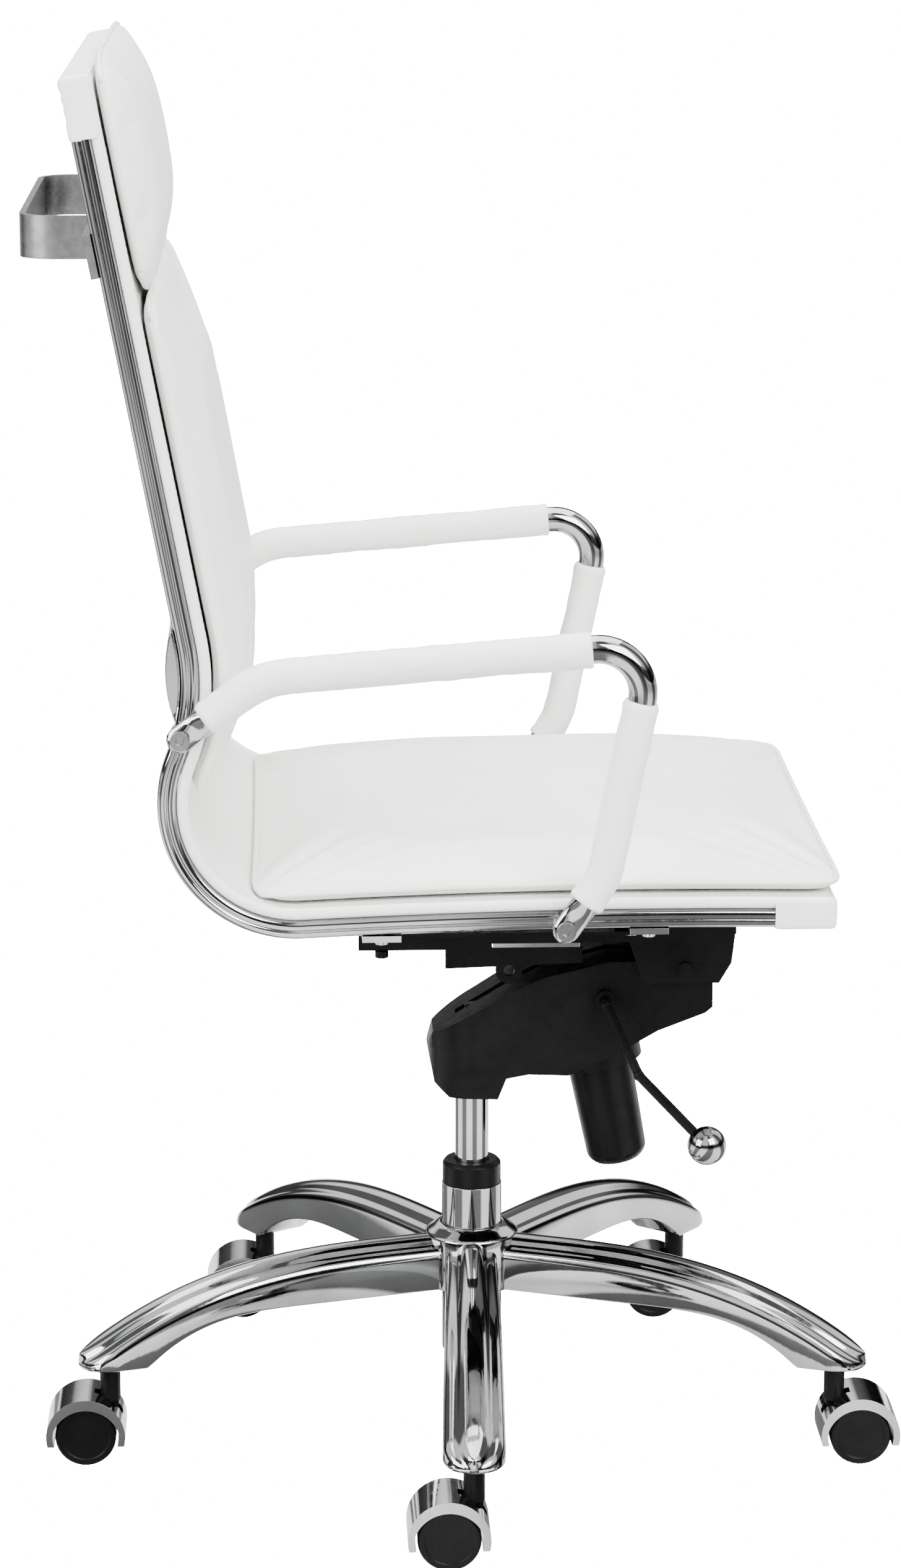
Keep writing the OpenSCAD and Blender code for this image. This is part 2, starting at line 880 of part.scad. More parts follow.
// Lens-shaped bar across the backs of both rails at the lumbar curve
module lumbar_brace() {
    bulge_r = 115;
    rise = 11;
    color(chrome)
        slab(frame_w - 2)
            intersection() {
                translate([lumbar_c.x - lumbar_r + rise - bulge_r, lumbar_c.y + 8])
                    circle(bulge_r, $fn = 180);
                translate(lumbar_c)
                    circle(lumbar_r - rest_gap, $fn = 180);
            }
}

// ---- arms ----
arm_x = arm_span / 2;
arm_front_r = 34;
arm_rear_r = 70;
arm_slope = 4.7;
post_lean = 11.5;
foot_lean = 34.5;
foot_r = 60;
arm_dive = arm_slope + 33;
arm_wall = 2;
arm_end_t = 8;
arm_start = [-80, rail_z + arm_rise];

// Unit vectors of the four straight stretches, in (y, z)
rear_dir = [cos(arm_slope), -sin(arm_slope)];
dive_dir = [cos(arm_dive), -sin(arm_dive)];
post_dir = [sin(post_lean), -cos(post_lean)];
foot_dir = [sin(foot_lean), -cos(foot_lean)];

// Lengths along a and b that together make the vector w
function two_lengths(w, a, b) = [cross(w, b), cross(a, w)] / cross(a, b);

rear_turn = arm_rear_r * [sin(arm_dive) - sin(arm_slope), cos(arm_dive) - cos(arm_slope)];
rear_len = two_lengths(lug_pt - arm_start - rear_turn, rear_dir, dive_dir);
rear_end = arm_start + rear_len[0] * rear_dir;
post_start = arm_start + arm_front_r * [-sin(arm_slope) - cos(post_lean),
                                        -cos(arm_slope) - sin(post_lean)];
foot_turn = foot_r * [cos(post_lean) - cos(foot_lean), sin(post_lean) - sin(foot_lean)];
post_len = two_lengths(foot_pt - post_start - foot_turn, post_dir, foot_dir);
post_end = post_start + post_len[0] * post_dir;

// Points of the arm's line, in (y, z)
function turn(c, r, a0, a1, n) = [
    for (k = [0 : n])
        let(a = a0 + (a1 - a0) * k / n)
            c + r * [cos(a), sin(a)]
];
function top_line(dive) = concat(
    [arm_start],
    turn(rear_end - arm_rear_r * [sin(arm_slope), cos(arm_slope)], arm_rear_r,
         90 - arm_slope, 90 - arm_dive, 8),
    [rear_end + rear_turn + dive * dive_dir]
);
function post_line(foot) = concat(
    [post_start],
    turn(post_end + foot_r * [cos(post_lean), sin(post_lean)], foot_r,
         180 + post_lean, 180 + foot_lean, 6),
    [post_end + foot_turn + foot * foot_dir]
);
front_line = turn(arm_start - arm_front_r * [sin(arm_slope), cos(arm_slope)], arm_front_r,
                  90 - arm_slope, 180 + post_lean, 14);
function whole_line() = concat(
    reversed(top_line(16)),
    [for (k = [1 : 13]) front_line[k]],
    post_line(8)
);

// Round tube swept along points in (y, z) at the place x, with a bore of radius r0
sides = 20;
function unit(v) = v / norm(v);
function rings(x, line, r) = [
    for (k = [0 : len(line) - 1], j = [0 : sides - 1])
        let(d = unit(line[min(k + 1, len(line) - 1)] - line[max(k - 1, 0)]),
            a = 360 * j / sides,
            p = line[k] + r * sin(a) * [-d.y, d.x])
        [x + r * cos(a), p.x, p.y]
];
module sweep_tube(x, line, r0, r1) {
    last = sides * (len(line) - 1);
    bore = sides * len(line);
    function next(j) = (j + 1) % sides;
    outside = [for (k = [0 : sides : last - 1], j = [0 : sides - 1])
        [k + j, k + next(j), k + sides + next(j), k + sides + j]];
    inside = [for (w = outside) [bore + w[3], bore + w[2], bore + w[1], bore + w[0]]];
    ends = [for (j = [0 : sides - 1], k = [0, last])
        k == 0 ? [next(j), j, bore + j, bore + next(j)]
               : [k + j, k + next(j), bore + k + next(j), bore + k + j]];
    polyhedron(concat(rings(x, line, r1), rings(x, line, r0)), concat(outside, inside, ends));
}

// Flattened end of the tube from the point p to its fixing, with a spacer to the rail
module arm_end(s, p, d, len) {
    slab(arm_end_t, s * arm_x)
        translate(p)
            rotate(atan2(d.y, d.x)) {
                translate([0, -arm_r + 1])
                    square([len, 2 * arm_r - 2]);
                translate([len, 0])
                    circle(arm_r - 1);
            }
    tip = p + len * d;
    x_bar(min(s * half_w, s * arm_x), max(s * half_w, s * arm_x), tip, 8);
}

module arm(s) {
    x = s * arm_x;
    color(chrome)
        difference() {
            union() {
                sweep_tube(x, whole_line(), arm_r - arm_wall, arm_r);
                arm_end(s, rear_end + rear_turn, dive_dir, rear_len[1]);
                arm_end(s, post_end + foot_turn, foot_dir, post_len[1]);
            }
            for (p = [foot_pt, lug_pt])
                x_bar(s > 0 ? half_w - 12 : x - arm_end_t, s > 0 ? x + arm_end_t : -half_w + 12, p, 3);
        }
}

module arm_sleeves(s) {
    color(leather) {
        sweep_tube(s * arm_x, top_line(4), arm_r + run_gap, arm_r + sleeve_t);
        sweep_tube(s * arm_x, post_line(2), arm_r + run_gap, arm_r + sleeve_t);
    }
}

module arm_screws() {
    head = arm_x + arm_end_t / 2;
    color(steel)
        for (s = [-1, 1], p = [foot_pt, lug_pt])
            difference() {
                union() {
                    x_bar(min(s * (half_w - 11), s * head), max(s * (half_w - 11), s * head), p, 3);
                    x_bar(min(s * head, s * (head + 4)), max(s * head, s * (head + 4)), p, 7.5);
                }
                translate([s > 0 ? head + 2 : -head - 5, p.x, p.y])
                    rotate([0, 90, 0])
                        cylinder(r = 3.2, h = 3, $fn = 6);
            }
}

// ---- casters ----
// Round ring section between two radii
module ring(r0, r1) {
    difference() {
        circle(r1);
        circle(r0);
    }
}

wheel_in = 7;
hood_gap = 2;
hood_t = 5.5;
trail_a = [90, 90, 90, 90, -90];
axle_pt = [caster_trail, wheel_r];
wheel_out = wheel_in + wheel_w;

// Local frame of a caster: the stem on z, the wheels trailing toward +y
module at_caster(i) {
    translate([stem_pos(i).x, stem_pos(i).y, 0])
        rotate(trail_a[i - 1] - 90)
            children();
}

module caster_core(i) {
    neck_low = 2 * wheel_r;
    color(black)
        at_caster(i)
            difference() {
                union() {
                    translate([0, 0, neck_low])
                        cylinder(r = caster_stem_r + 3, h = neck_top - neck_low);
                    slab(10) {
                        polygon([
                            [-7, neck_low + 4], [7, neck_low + 4], axle_pt + [5, 8],
                            axle_pt + [8, 0], axle_pt + [-6, -7], [-7, neck_low - 4]
                        ]);
                        translate(axle_pt)
                            circle(caster_axle_r + 5);
                    }
                }
                translate([0, 0, neck_low + 1.5])
                    cylinder(r = caster_stem_r + run_gap, h = 60);
                x_bar(-20, 20, axle_pt, caster_axle_r + run_gap);
            }
}

module caster_hood(i) {
    inner = wheel_r + hood_gap;
    outer = inner + hood_t;
    lip_x = wheel_out + 0.4;
    color(chrome)
        at_caster(i)
            difference() {
                union() {
                    slab(2 * lip_x + 3)
                        translate(axle_pt)
                            ring(inner, outer);
                    for (s = [-1, 1])
                        slab(1.5, s * (lip_x + 0.75))
                            translate(axle_pt)
                                difference() {
                                    circle(outer);
                                    translate([0, -5])
                                        circle(inner + 1.5);
                                }
                }
                translate([-50, caster_trail - 60, -50])
                    cube([100, 120, 42 + wheel_r]);
                translate([0, 0, wheel_r + 5])
                    cylinder(r = caster_stem_r + 3.5, h = 60);
                translate([-5.3, -10, wheel_r + 5])
                    cube([10.6, 23, 60]);
            }
}

module caster_axle(i) {
    color(steel)
        at_caster(i)
            x_bar(-wheel_out + 2, wheel_out - 2, axle_pt, caster_axle_r);
}

module caster_wheels(i) {
    chamfer = 1.5;
    color(black)
        at_caster(i)
            for (s = [-1, 1])
                translate([0, axle_pt.x, axle_pt.y])
                    rotate([0, s * 90, 0])
                        rotate_extrude($fn = 96)
                            polygon([
                                [caster_axle_r, wheel_in], [wheel_r - chamfer, wheel_in],
                                [wheel_r, wheel_in + chamfer], [wheel_r, wheel_out - chamfer],
                                [wheel_r - chamfer, wheel_out], [wheel_r - 5, wheel_out],
                                [wheel_r - 6, wheel_out - 1], [0, wheel_out - 1],
                                [0, wheel_out - 2], [caster_axle_r, wheel_out - 2]
                            ]);
}

base_star();
caster_stems();
outer_tube();
guide_bush();
tube_collar();
piston_rod();
thrust_bearing();
bearing_clip();
gas_cylinder();
tilt_housing();
tilt_axle();
tension_spring();
valve_pin();
tension_knob();
lever_cam();
height_lever();
lever_ball();
seat_plate();
tilt_yoke();
link_bars();
plate_bolts();
plate_bumpers();
stretcher(bolt_y[1]);  // front_stretcher
stretcher(bolt_y[0]);  // rear_stretcher
stretcher_screws();
rail(1);  // rail_left
rail(-1);  // rail_right
sling();
top_wrap();
front_wrap();
seat_pad();
back_pad();
head_pad();
carry_handle();
lumbar_brace();
arm(1);  // arm_left
arm(-1);  // arm_right
arm_sleeves(1);  // arm_sleeves_left
arm_sleeves(-1);  // arm_sleeves_right
arm_screws();
for (i = [1 : 5]) {
    caster_core(i);
    caster_hood(i);
    caster_axle(i);
    caster_wheels(i);
}
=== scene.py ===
import bpy
import bmesh
import json
import math
import numpy as np
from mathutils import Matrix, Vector, noise


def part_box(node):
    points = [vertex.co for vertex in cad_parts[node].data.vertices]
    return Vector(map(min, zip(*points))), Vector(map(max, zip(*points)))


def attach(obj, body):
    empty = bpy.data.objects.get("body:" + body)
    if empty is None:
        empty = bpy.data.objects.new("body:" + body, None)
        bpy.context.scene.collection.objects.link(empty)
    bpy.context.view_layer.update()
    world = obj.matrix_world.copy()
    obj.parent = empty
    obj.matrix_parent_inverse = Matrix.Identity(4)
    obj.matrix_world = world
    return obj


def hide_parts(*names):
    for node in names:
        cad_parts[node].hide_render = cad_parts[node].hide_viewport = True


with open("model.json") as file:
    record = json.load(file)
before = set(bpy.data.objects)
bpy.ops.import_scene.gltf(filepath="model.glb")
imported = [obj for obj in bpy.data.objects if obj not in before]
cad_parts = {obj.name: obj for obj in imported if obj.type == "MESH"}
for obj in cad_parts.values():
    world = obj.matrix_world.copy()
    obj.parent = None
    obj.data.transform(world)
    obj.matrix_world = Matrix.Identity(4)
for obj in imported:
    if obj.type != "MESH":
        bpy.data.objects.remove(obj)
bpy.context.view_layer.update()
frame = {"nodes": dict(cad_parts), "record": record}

nodes = frame["nodes"]
record = frame["record"]
bodyOf = {n: b for b, group in record["behaviour"]["bodies"].items() for n in group}
slotOf = {s["node"]: s["material_slot"] for s in record["subparts"]}
mm = 0.001


# materials

def startMaterial(name):
    material = bpy.data.materials.new(name)
    material.use_nodes = True
    tree = material.node_tree
    tree.nodes.clear()
    out = tree.nodes.new("ShaderNodeOutputMaterial")
    shader = tree.nodes.new("ShaderNodeBsdfPrincipled")
    tree.links.new(shader.outputs[0], out.inputs[0])
    return material, tree, shader


def objectCoords(tree, stretch=(1, 1, 1)):
    coords = tree.nodes.new("ShaderNodeTexCoord")
    mapping = tree.nodes.new("ShaderNodeMapping")
    mapping.inputs["Scale"].default_value = stretch
    tree.links.new(coords.outputs["Object"], mapping.inputs[0])
    return mapping.outputs[0]


def noiseField(tree, coords, scale, detail=3, roughness=0.5):
    field = tree.nodes.new("ShaderNodeTexNoise")
    field.inputs["Scale"].default_value = scale
    field.inputs["Detail"].default_value = detail
    field.inputs["Roughness"].default_value = roughness
    tree.links.new(coords, field.inputs["Vector"])
    return field.outputs[0]


def cellField(tree, coords, scale, feature="DISTANCE_TO_EDGE"):
    field = tree.nodes.new("ShaderNodeTexVoronoi")
    field.feature = feature
    field.inputs["Scale"].default_value = scale
    tree.links.new(coords, field.inputs["Vector"])
    return field.outputs[0]


def ramp(tree, source, stops):
    node = tree.nodes.new("ShaderNodeValToRGB")
    points = node.color_ramp.elements
    while len(points) < len(stops):
        points.new(0.5)
    for point, (place, colour) in zip(points, stops):
        point.position = place
        point.color = (*colour, 1) if len(colour) == 3 else colour
    tree.links.new(source, node.inputs[0])
    return node.outputs[0]


def grey(v):
    return (v, v, v)


def bump(tree, height, strength, distance, below=None):
    node = tree.nodes.new("ShaderNodeBump")
    node.inputs["Strength"].default_value = strength
    node.inputs["Distance"].default_value = distance
    tree.links.new(height, node.inputs["Height"])
    if below:
        tree.links.new(below, node.inputs["Normal"])
    return node.outputs[0]


def metal(name, dark, light, rough, grain, stretch=(1, 1, 1), dent=0.03):
    material, tree, shader = startMaterial(name)
    coords = objectCoords(tree, stretch)
    shader.inputs["Metallic"].default_value = 1.0
    cloud = noiseField(tree, coords, grain)
    fine = noiseField(tree, coords, grain * 14, 4)
    tree.links.new(ramp(tree, cloud, [(0.3, dark), (0.7, light)]), shader.inputs["Base Color"])
    polish = ramp(tree, fine, [(0.35, grey(rough[0])), (0.7, grey(rough[1]))])
    tree.links.new(polish, shader.inputs["Roughness"])
    tree.links.new(bump(tree, fine, dent, 0.1 * mm), shader.inputs["Normal"])
    return material


def coated(name, dark, light, rough, grain, dent):
    material, tree, shader = startMaterial(name)
    shader.inputs["Specular IOR Level"].default_value = 0.07
    coords = objectCoords(tree)
    cloud = noiseField(tree, coords, 22)
    pebble = cellField(tree, coords, grain, "F1")
    tree.links.new(ramp(tree, cloud, [(0.3, dark), (0.7, light)]), shader.inputs["Base Color"])
    worn = ramp(tree, noiseField(tree, coords, 90, 4), [(0.3, grey(rough[0])), (0.7, grey(rough[1]))])
    tree.links.new(worn, shader.inputs["Roughness"])
    tree.links.new(bump(tree, pebble, dent, 0.15 * mm), shader.inputs["Normal"])
    return material


leatherLook = {"pale": (0.86, 0.855, 0.84), "shade": (0.80, 0.793, 0.775),
               "crease": (0.70, 0.69, 0.665), "grain": 720, "rough": (0.42, 0.56)}


def leatherMaterial(name, look=leatherLook):
    material, tree, shader = startMaterial(name)
    coords = objectCoords(tree)
    cloud = noiseField(tree, coords, 9, 4)
    cells = cellField(tree, coords, look["grain"])
    creases = noiseField(tree, coords, 60, 5, 0.65)
    tint = ramp(tree, cloud, [(0.3, look["shade"]), (0.62, look["pale"])])
    lines = ramp(tree, cells, [(0.0, grey(0.0)), (0.12, grey(1.0))])
    mix = tree.nodes.new("ShaderNodeMix")
    mix.data_type = "RGBA"
    mix.inputs["A"].default_value = (*look["crease"], 1)
    tree.links.new(lines, mix.inputs["Factor"])
    tree.links.new(tint, mix.inputs["B"])
    tree.links.new(mix.outputs["Result"], shader.inputs["Base Color"])
    sheen = ramp(tree, creases, [(0.3, grey(look["rough"][0])), (0.7, grey(look["rough"][1]))])
    tree.links.new(sheen, shader.inputs["Roughness"])
    grain = bump(tree, lines, 0.22, 0.12 * mm)
    tree.links.new(bump(tree, creases, 0.25, 0.5 * mm, grain), shader.inputs["Normal"])
    return material


chrome = metal("chromePlate", (0.27, 0.274, 0.278), (0.36, 0.364, 0.368), (0.04, 0.1), 14)
satin = metal("satinGrey", (0.20, 0.20, 0.204), (0.27, 0.27, 0.274), (0.26, 0.38), 20, (1, 6, 6), 0.08)
zinc = metal("zincSteel", (0.42, 0.42, 0.43), (0.58, 0.58, 0.58), (0.22, 0.4), 40)
deepBlack = (0.002, 0.002, 0.0022)
blackCoat = coated("blackPowderCoat", deepBlack, (0.005, 0.005, 0.0052), (0.34, 0.48), 1300, 0.3)
blackPlastic = coated("blackPlastic", deepBlack, (0.0045, 0.0045, 0.0047), (0.28, 0.42), 2000, 0.2)
leather = leatherMaterial("whiteLeather")
# piping and seam thread: darker copies of the white leather, painted shade along the pad seams and stitch
# lines
pipingShadeLook = dict(leatherLook, pale=(0.78, 0.77, 0.75), shade=(0.7, 0.69, 0.67))
threadShadeLook = dict(leatherLook, pale=(0.7, 0.69, 0.67), shade=(0.6, 0.59, 0.57), grain=1500)
piping = leatherMaterial("leatherPipingShade", pipingShadeLook)
thread = leatherMaterial("seamThreadShade", threadShadeLook)
darkSteel = metal("darkSteel", (0.10, 0.10, 0.105), (0.2, 0.2, 0.205), (0.25, 0.4), 40)
finishOf = {"chrome": chrome, "handle_metal": satin, "leather": leather, "black_metal": blackCoat,
            "black_plastic": blackPlastic, "steel": zinc}
print("materials made")


# shared mesh tools

def place(name, mesh, material, body, slot, replaced=()):
    mesh.materials.clear()
    mesh.materials.append(material)
    piece = bpy.data.objects.new(name, mesh)
    bpy.context.scene.collection.objects.link(piece)
    mesh.polygons.foreach_set("use_smooth", [True] * len(mesh.polygons))
    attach(piece, body)
    if replaced:
        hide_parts(*replaced)
    return piece


def meshFrom(name, verts, faces):
    mesh = bpy.data.meshes.new(name)
    mesh.from_pydata([tuple(v) for v in verts], [], faces)
    bm = bmesh.new()
    bm.from_mesh(mesh)
    bmesh.ops.recalc_face_normals(bm, faces=bm.faces)
    bm.to_mesh(mesh)
    bm.free()
    return mesh


def loft(rings, closedEnds=True):
    count = len(rings[0])
    verts = [p for ring in rings for p in ring]
    faces = [(k * count + j, k * count + (j + 1) % count,
              (k + 1) * count + (j + 1) % count, (k + 1) * count + j)
             for k in range(len(rings) - 1) for j in range(count)]
    if closedEnds:
        faces += [tuple(range(count)), tuple((len(rings) - 1) * count + j for j in range(count))]
    return verts, faces


def cleanCopy(node):
    bm = bmesh.new()
    bm.from_mesh(nodes[node].data)
    bmesh.ops.remove_doubles(bm, verts=bm.verts, dist=0.01 * mm)
    bmesh.ops.dissolve_limit(bm, angle_limit=math.radians(1), verts=bm.verts, edges=bm.edges)
    mesh = bpy.data.meshes.new(node + "Finish")
    bm.to_mesh(mesh)
    bm.free()
    if "custom_normal" in mesh.attributes:
        mesh.attributes.remove(mesh.attributes["custom_normal"])
    return mesh


def softEdges(node, width, material=None, segments=3):
    mesh = cleanCopy(node)
    finish = material or finishOf[slotOf[node]]
    piece = place(node + "_finish", mesh, finish, bodyOf[node], slotOf[node], [node])
    edge = piece.modifiers.new("edge", "BEVEL")
    edge.width = width * mm
    edge.segments = segments
    edge.limit_method = "ANGLE"
    edge.angle_limit = math.radians(34)
    edge.harden_normals = False
    normals = piece.modifiers.new("normals", "WEIGHTED_NORMAL")
    normals.keep_sharp = True
    return piece


def evaluated(piece):
    graph = bpy.context.evaluated_depsgraph_get()
    graph.update()
    return bpy.data.meshes.new_from_object(piece.evaluated_get(graph))


# side curve of the frame, followed by the rails, the sling and the pads

sideCurve = {"railZ": 0.493, "seatRadius": 6.1, "seatFall": 2.6, "bendY": 0.145, "bendRadius": 0.106,
             "lumbarRadius": 0.15, "lumbarLean": 22, "recline": 10.7, "backLength": 0.433,
             "frontY": -0.271, "spare": 0.012, "step": 0.003}


def polar(angle):
    return np.array([math.cos(math.radians(angle)), math.sin(math.radians(angle))])


def buildSide(c):
    fall, lean, back = c["seatFall"], c["lumbarLean"], c["recline"]
    bendZ = c["railZ"] - c["seatRadius"] * (1 - math.cos(math.radians(fall)))
    bendZ += c["bendRadius"] * math.cos(math.radians(fall))
    bendC = np.array([c["bendY"], bendZ])
    seatC = bendC - (c["bendRadius"] + c["seatRadius"]) * polar(90 - fall)
    lumbarC = bendC + (c["bendRadius"] + c["lumbarRadius"]) * polar(lean)
    points = []
    endY = (bendC - c["bendRadius"] * polar(90 - fall))[0]
    for y in np.arange(c["frontY"] - c["spare"], endY, c["step"]):
        a = math.acos((y - seatC[0]) / c["seatRadius"])
        n = np.array([math.cos(a), math.sin(a)])
        points.append((seatC + c["seatRadius"] * n, n))
    seatCount = len(points)
    for a in np.linspace(-90 - fall, lean, int(math.radians(90 + fall + lean) * c["bendRadius"] / c["step"])):
        points.append((bendC + c["bendRadius"] * polar(a), -polar(a)))
    for a in np.linspace(180 + lean, 180 - back, 30)[1:]:
        points.append((lumbarC + c["lumbarRadius"] * polar(a), polar(a)))
    start, along = points[-1][0], polar(90 - back)
    for l in np.arange(c["step"], c["backLength"] + 0.03, c["step"]):
        points.append((start + l * along, polar(180 - back)))
    return points, start, lumbarC, seatCount


def runAlong(line):
    return np.concatenate([[0], np.cumsum(np.linalg.norm(np.diff(line, axis=0), axis=1))])


sidePoints, backStart, lumbarCentre, seatCount = buildSide(sideCurve)
sideP = np.array([p for p, n in sidePoints])
sideN = np.array([n for p, n in sidePoints])
sideS = runAlong(sideP)
backS = sideS[np.argmin(np.linalg.norm(sideP - backStart, axis=1))]


def sideAt(s, d):
    y, z = np.interp(s, sideS, sideP[:, 0]), np.interp(s, sideS, sideP[:, 1])
    ny, nz = np.interp(s, sideS, sideN[:, 0]), np.interp(s, sideS, sideN[:, 1])
    size = np.hypot(ny, nz)
    return y + d * ny / size, z + d * nz / size


def sOfY(y):
    return float(np.interp(y, sideP[:seatCount, 0], sideS[:seatCount]))


def sOfBack(l):
    return backS + l


def alongSide(profile, s0, s1, step=0.004):
    rings = []
    for s in np.linspace(s0, s1, max(2, int((s1 - s0) / step))):
        ring = []
        for x, d in profile:
            y, z = sideAt(s, d)
            ring.append((x, float(y), float(z)))
        rings.append(ring)
    return rings


def arc(cx, cd, r, a0, a1, count):
    return [(cx + r * math.cos(math.radians(a)), cd + r * math.sin(math.radians(a)))
            for a in np.linspace(a0, a1, count)]


# rails: flat bar with round edges and a groove down the outer face

railShape = {"width": 0.020, "depth": 0.015, "corner": 0.0048, "groove": 0.0011, "grooveHalf": 0.0019}


def makeRail(node, side):
    c = railShape
    low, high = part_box(node)
    outer = high.x if side > 0 else low.x
    w, d, r, mid = c["width"], c["depth"], c["corner"], c["depth"] / 2
    shape = arc(w - r, r, r, -90, 0, 7)
    shape += [(w, mid - c["grooveHalf"]), (w - c["groove"] * 0.7, mid - c["grooveHalf"] * 0.5),
              (w - c["groove"], mid), (w - c["groove"] * 0.7, mid + c["grooveHalf"] * 0.5),
              (w, mid + c["grooveHalf"])]
    shape += arc(w - r, d - r, r, 0, 90, 7) + arc(r * 0.6, d - r * 0.6, r * 0.6, 90, 180, 5)
    shape += arc(r * 0.6, r * 0.6, r * 0.6, 180, 270, 5)
    profile = [(outer - side * (w - x), depth) for x, depth in shape]
    rings = alongSide(profile, sOfY(-0.267), sOfBack(0.429), 0.0045)
    return place(node + "_chrome", meshFrom(node, *loft(rings)), chrome, bodyOf[node], slotOf[node], [node])


for name, side in (("rail_left", 1), ("rail_right", -1)):
    makeRail(name, side)
print("rails made")


# sling with a rolled edge on each side

slingShape = {"half": 0.258, "inner": 0.015, "thick": 0.009, "dip": 0.0012,
              "stitchIn": 0.0205, "stitchDip": 0.0011}


def makeSling():
    c = slingShape
    r, mid = c["thick"] / 2, c["inner"] + c["thick"] / 2
    flat = r - c["dip"]
    centre = c["half"] - r
    spread = math.degrees(math.asin(flat / r))
    profile = arc(centre, mid, r, -180 + spread, 180 - spread, 17)
    profile += [(x, mid + flat) for x in np.linspace(centre - 0.012, -centre + 0.012, 21)]
    profile += arc(-centre, mid, r, spread, 360 - spread, 17)
    profile += [(x, mid - flat) for x in np.linspace(-centre + 0.012, centre - 0.012, 21)]
    rings = alongSide(profile, sOfY(-0.267), sOfBack(0.429), 0.005)
    return place("sling_leather", meshFrom("sling", *loft(rings)), leather, "seat", "leather", ["sling"])


makeSling()


def stitchRow(name, line, length=0.0042, gap=0.0016, radius=0.00045):
    line = np.array(line, float)
    size = runAlong(line)
    verts, faces = [], []
    at = 0.002
    while at + length < size[-1]:
        ends = [np.array([np.interp(s, size, line[:, k]) for k in range(3)]) for s in (at, at + length)]
        axis = Vector(ends[1] - ends[0]).normalized()
        across = axis.orthogonal().normalized()
        other = axis.cross(across)
        base = len(verts)
        for share, fat in ((0, 0.35), (0.2, 1), (0.8, 1), (1, 0.35)):
            centre = Vector(ends[0] * (1 - share) + ends[1] * share)
            for j in range(6):
                a = j * math.pi / 3
                verts.append(centre + radius * fat * (math.cos(a) * across + math.sin(a) * other))
        for k in range(3):
            faces += [(base + 6 * k + j, base + 6 * k + (j + 1) % 6,
                       base + 6 * k + 6 + (j + 1) % 6, base + 6 * k + 6 + j) for j in range(6)]
        faces += [tuple(base + j for j in range(5, -1, -1)), tuple(base + 18 + j for j in range(6))]
        at += length + gap
    # the stitches take the darker thread copy of the leather: painted shade along the stitch lines
    return place(name, meshFrom(name, verts, faces), thread, "seat", "leather")


def sideStitches():
    c = slingShape
    for side in (-1, 1):
        word = "left" if side > 0 else "right"
        depths = {"front": c["inner"] + c["thick"] - c["stitchDip"], "rear": c["inner"] + c["stitchDip"]}
        for face, depth in depths.items():
            line = []
            for s in np.arange(sOfY(-0.215), sOfBack(0.38), 0.004):
                y, z = sideAt(s, depth)
                line.append((side * (c["half"] - c["stitchIn"]), float(y), float(z)))
            stitchRow(f"sling_stitches_{face}_{word}", line)


sideStitches()
print("sling made")


# leather wraps on the rail ends

wrapLook = {"voxel": 0.0018, "smooth": 26, "wrinkle": 0.00025, "wrinkleScale": 70}


def softWrap(node):
    c = wrapLook
    mesh = cleanCopy(node)
    piece = place(node + "_leather", mesh, leather, bodyOf[node], slotOf[node], [node])
    remesh = piece.modifiers.new("remesh", "REMESH")
    remesh.mode = "VOXEL"
    remesh.voxel_size = c["voxel"]
    smooth = piece.modifiers.new("smooth", "SMOOTH")
    smooth.iterations = c["smooth"]
    smooth.factor = 0.6
    made = evaluated(piece)
    piece.modifiers.clear()
    for v in made.vertices:
        lift = noise.noise(v.co * c["wrinkleScale"]) * c["wrinkle"]
        v.co += v.normal * lift
    piece.data = made
    made.materials.clear()
    made.materials.append(leather)
    made.polygons.foreach_set("use_smooth", [True] * len(made.polygons))
    return piece


for name in ("top_wrap", "front_wrap"):
    softWrap(name)
print("wraps made")


# pads: sewn flat, filled by a short cloth run, then laid along the side curve

padShapes = {
    "seat_pad": {"s0": sOfY(-0.275), "s1": sOfY(0.0) + 0.177, "half": 0.245, "thick": 0.024, "seam": 0.008,
                 "corner": 0.022, "pull": 0.006, "sidePower": 12, "endPower": 10, "cap": 0.007, "fill": 0.7},
    "back_pad": {"s0": sOfBack(0.257) - 0.376, "s1": sOfBack(0.257), "half": 0.245, "thick": 0.023,
                 "seam": 0.006, "corner": 0.026,
                 "pull": 0.006, "sidePower": 9, "endPower": 9, "cap": 0.008, "fill": 0.7},
    "head_pad": {"s0": sOfBack(0.260), "s1": sOfBack(0.442), "half": 0.245, "thick": 0.026, "seam": 0.005,
                 "corner": 0.055, "pull": 0.008, "sidePower": 6, "endPower": 3, "cap": 0.012, "fill": 0.85},
}
padGap = 0.0245                       # depth where the pads lie on the sling
heel = {"y": 0.135, "radius": 0.0815}     # the seat pad's rear end leaves the bend here
clothRun = {"voxel": 0.005, "pressure": 4.0, "frames": 20, "pucker": 0.0005, "puckerLength": 0.016}


def padOutline(c, u, v):
    length = (c["s1"] - c["s0"]) / 2
    cut = 0.293 * c["corner"]                           # how far a round corner cuts in
    softV = 2.3 / -math.log(1 - c["corner"] / length)
    softU = 2.3 / -math.log(1 - c["corner"] / c["half"])
    x = u * (c["half"] - cut * np.abs(v) ** softV) * (1 - c["pull"] * (1 - v ** 2))
    s = v * (length - cut * np.abs(u) ** softU) * (1 - c["pull"] * (1 - u ** 2))
    return x, s


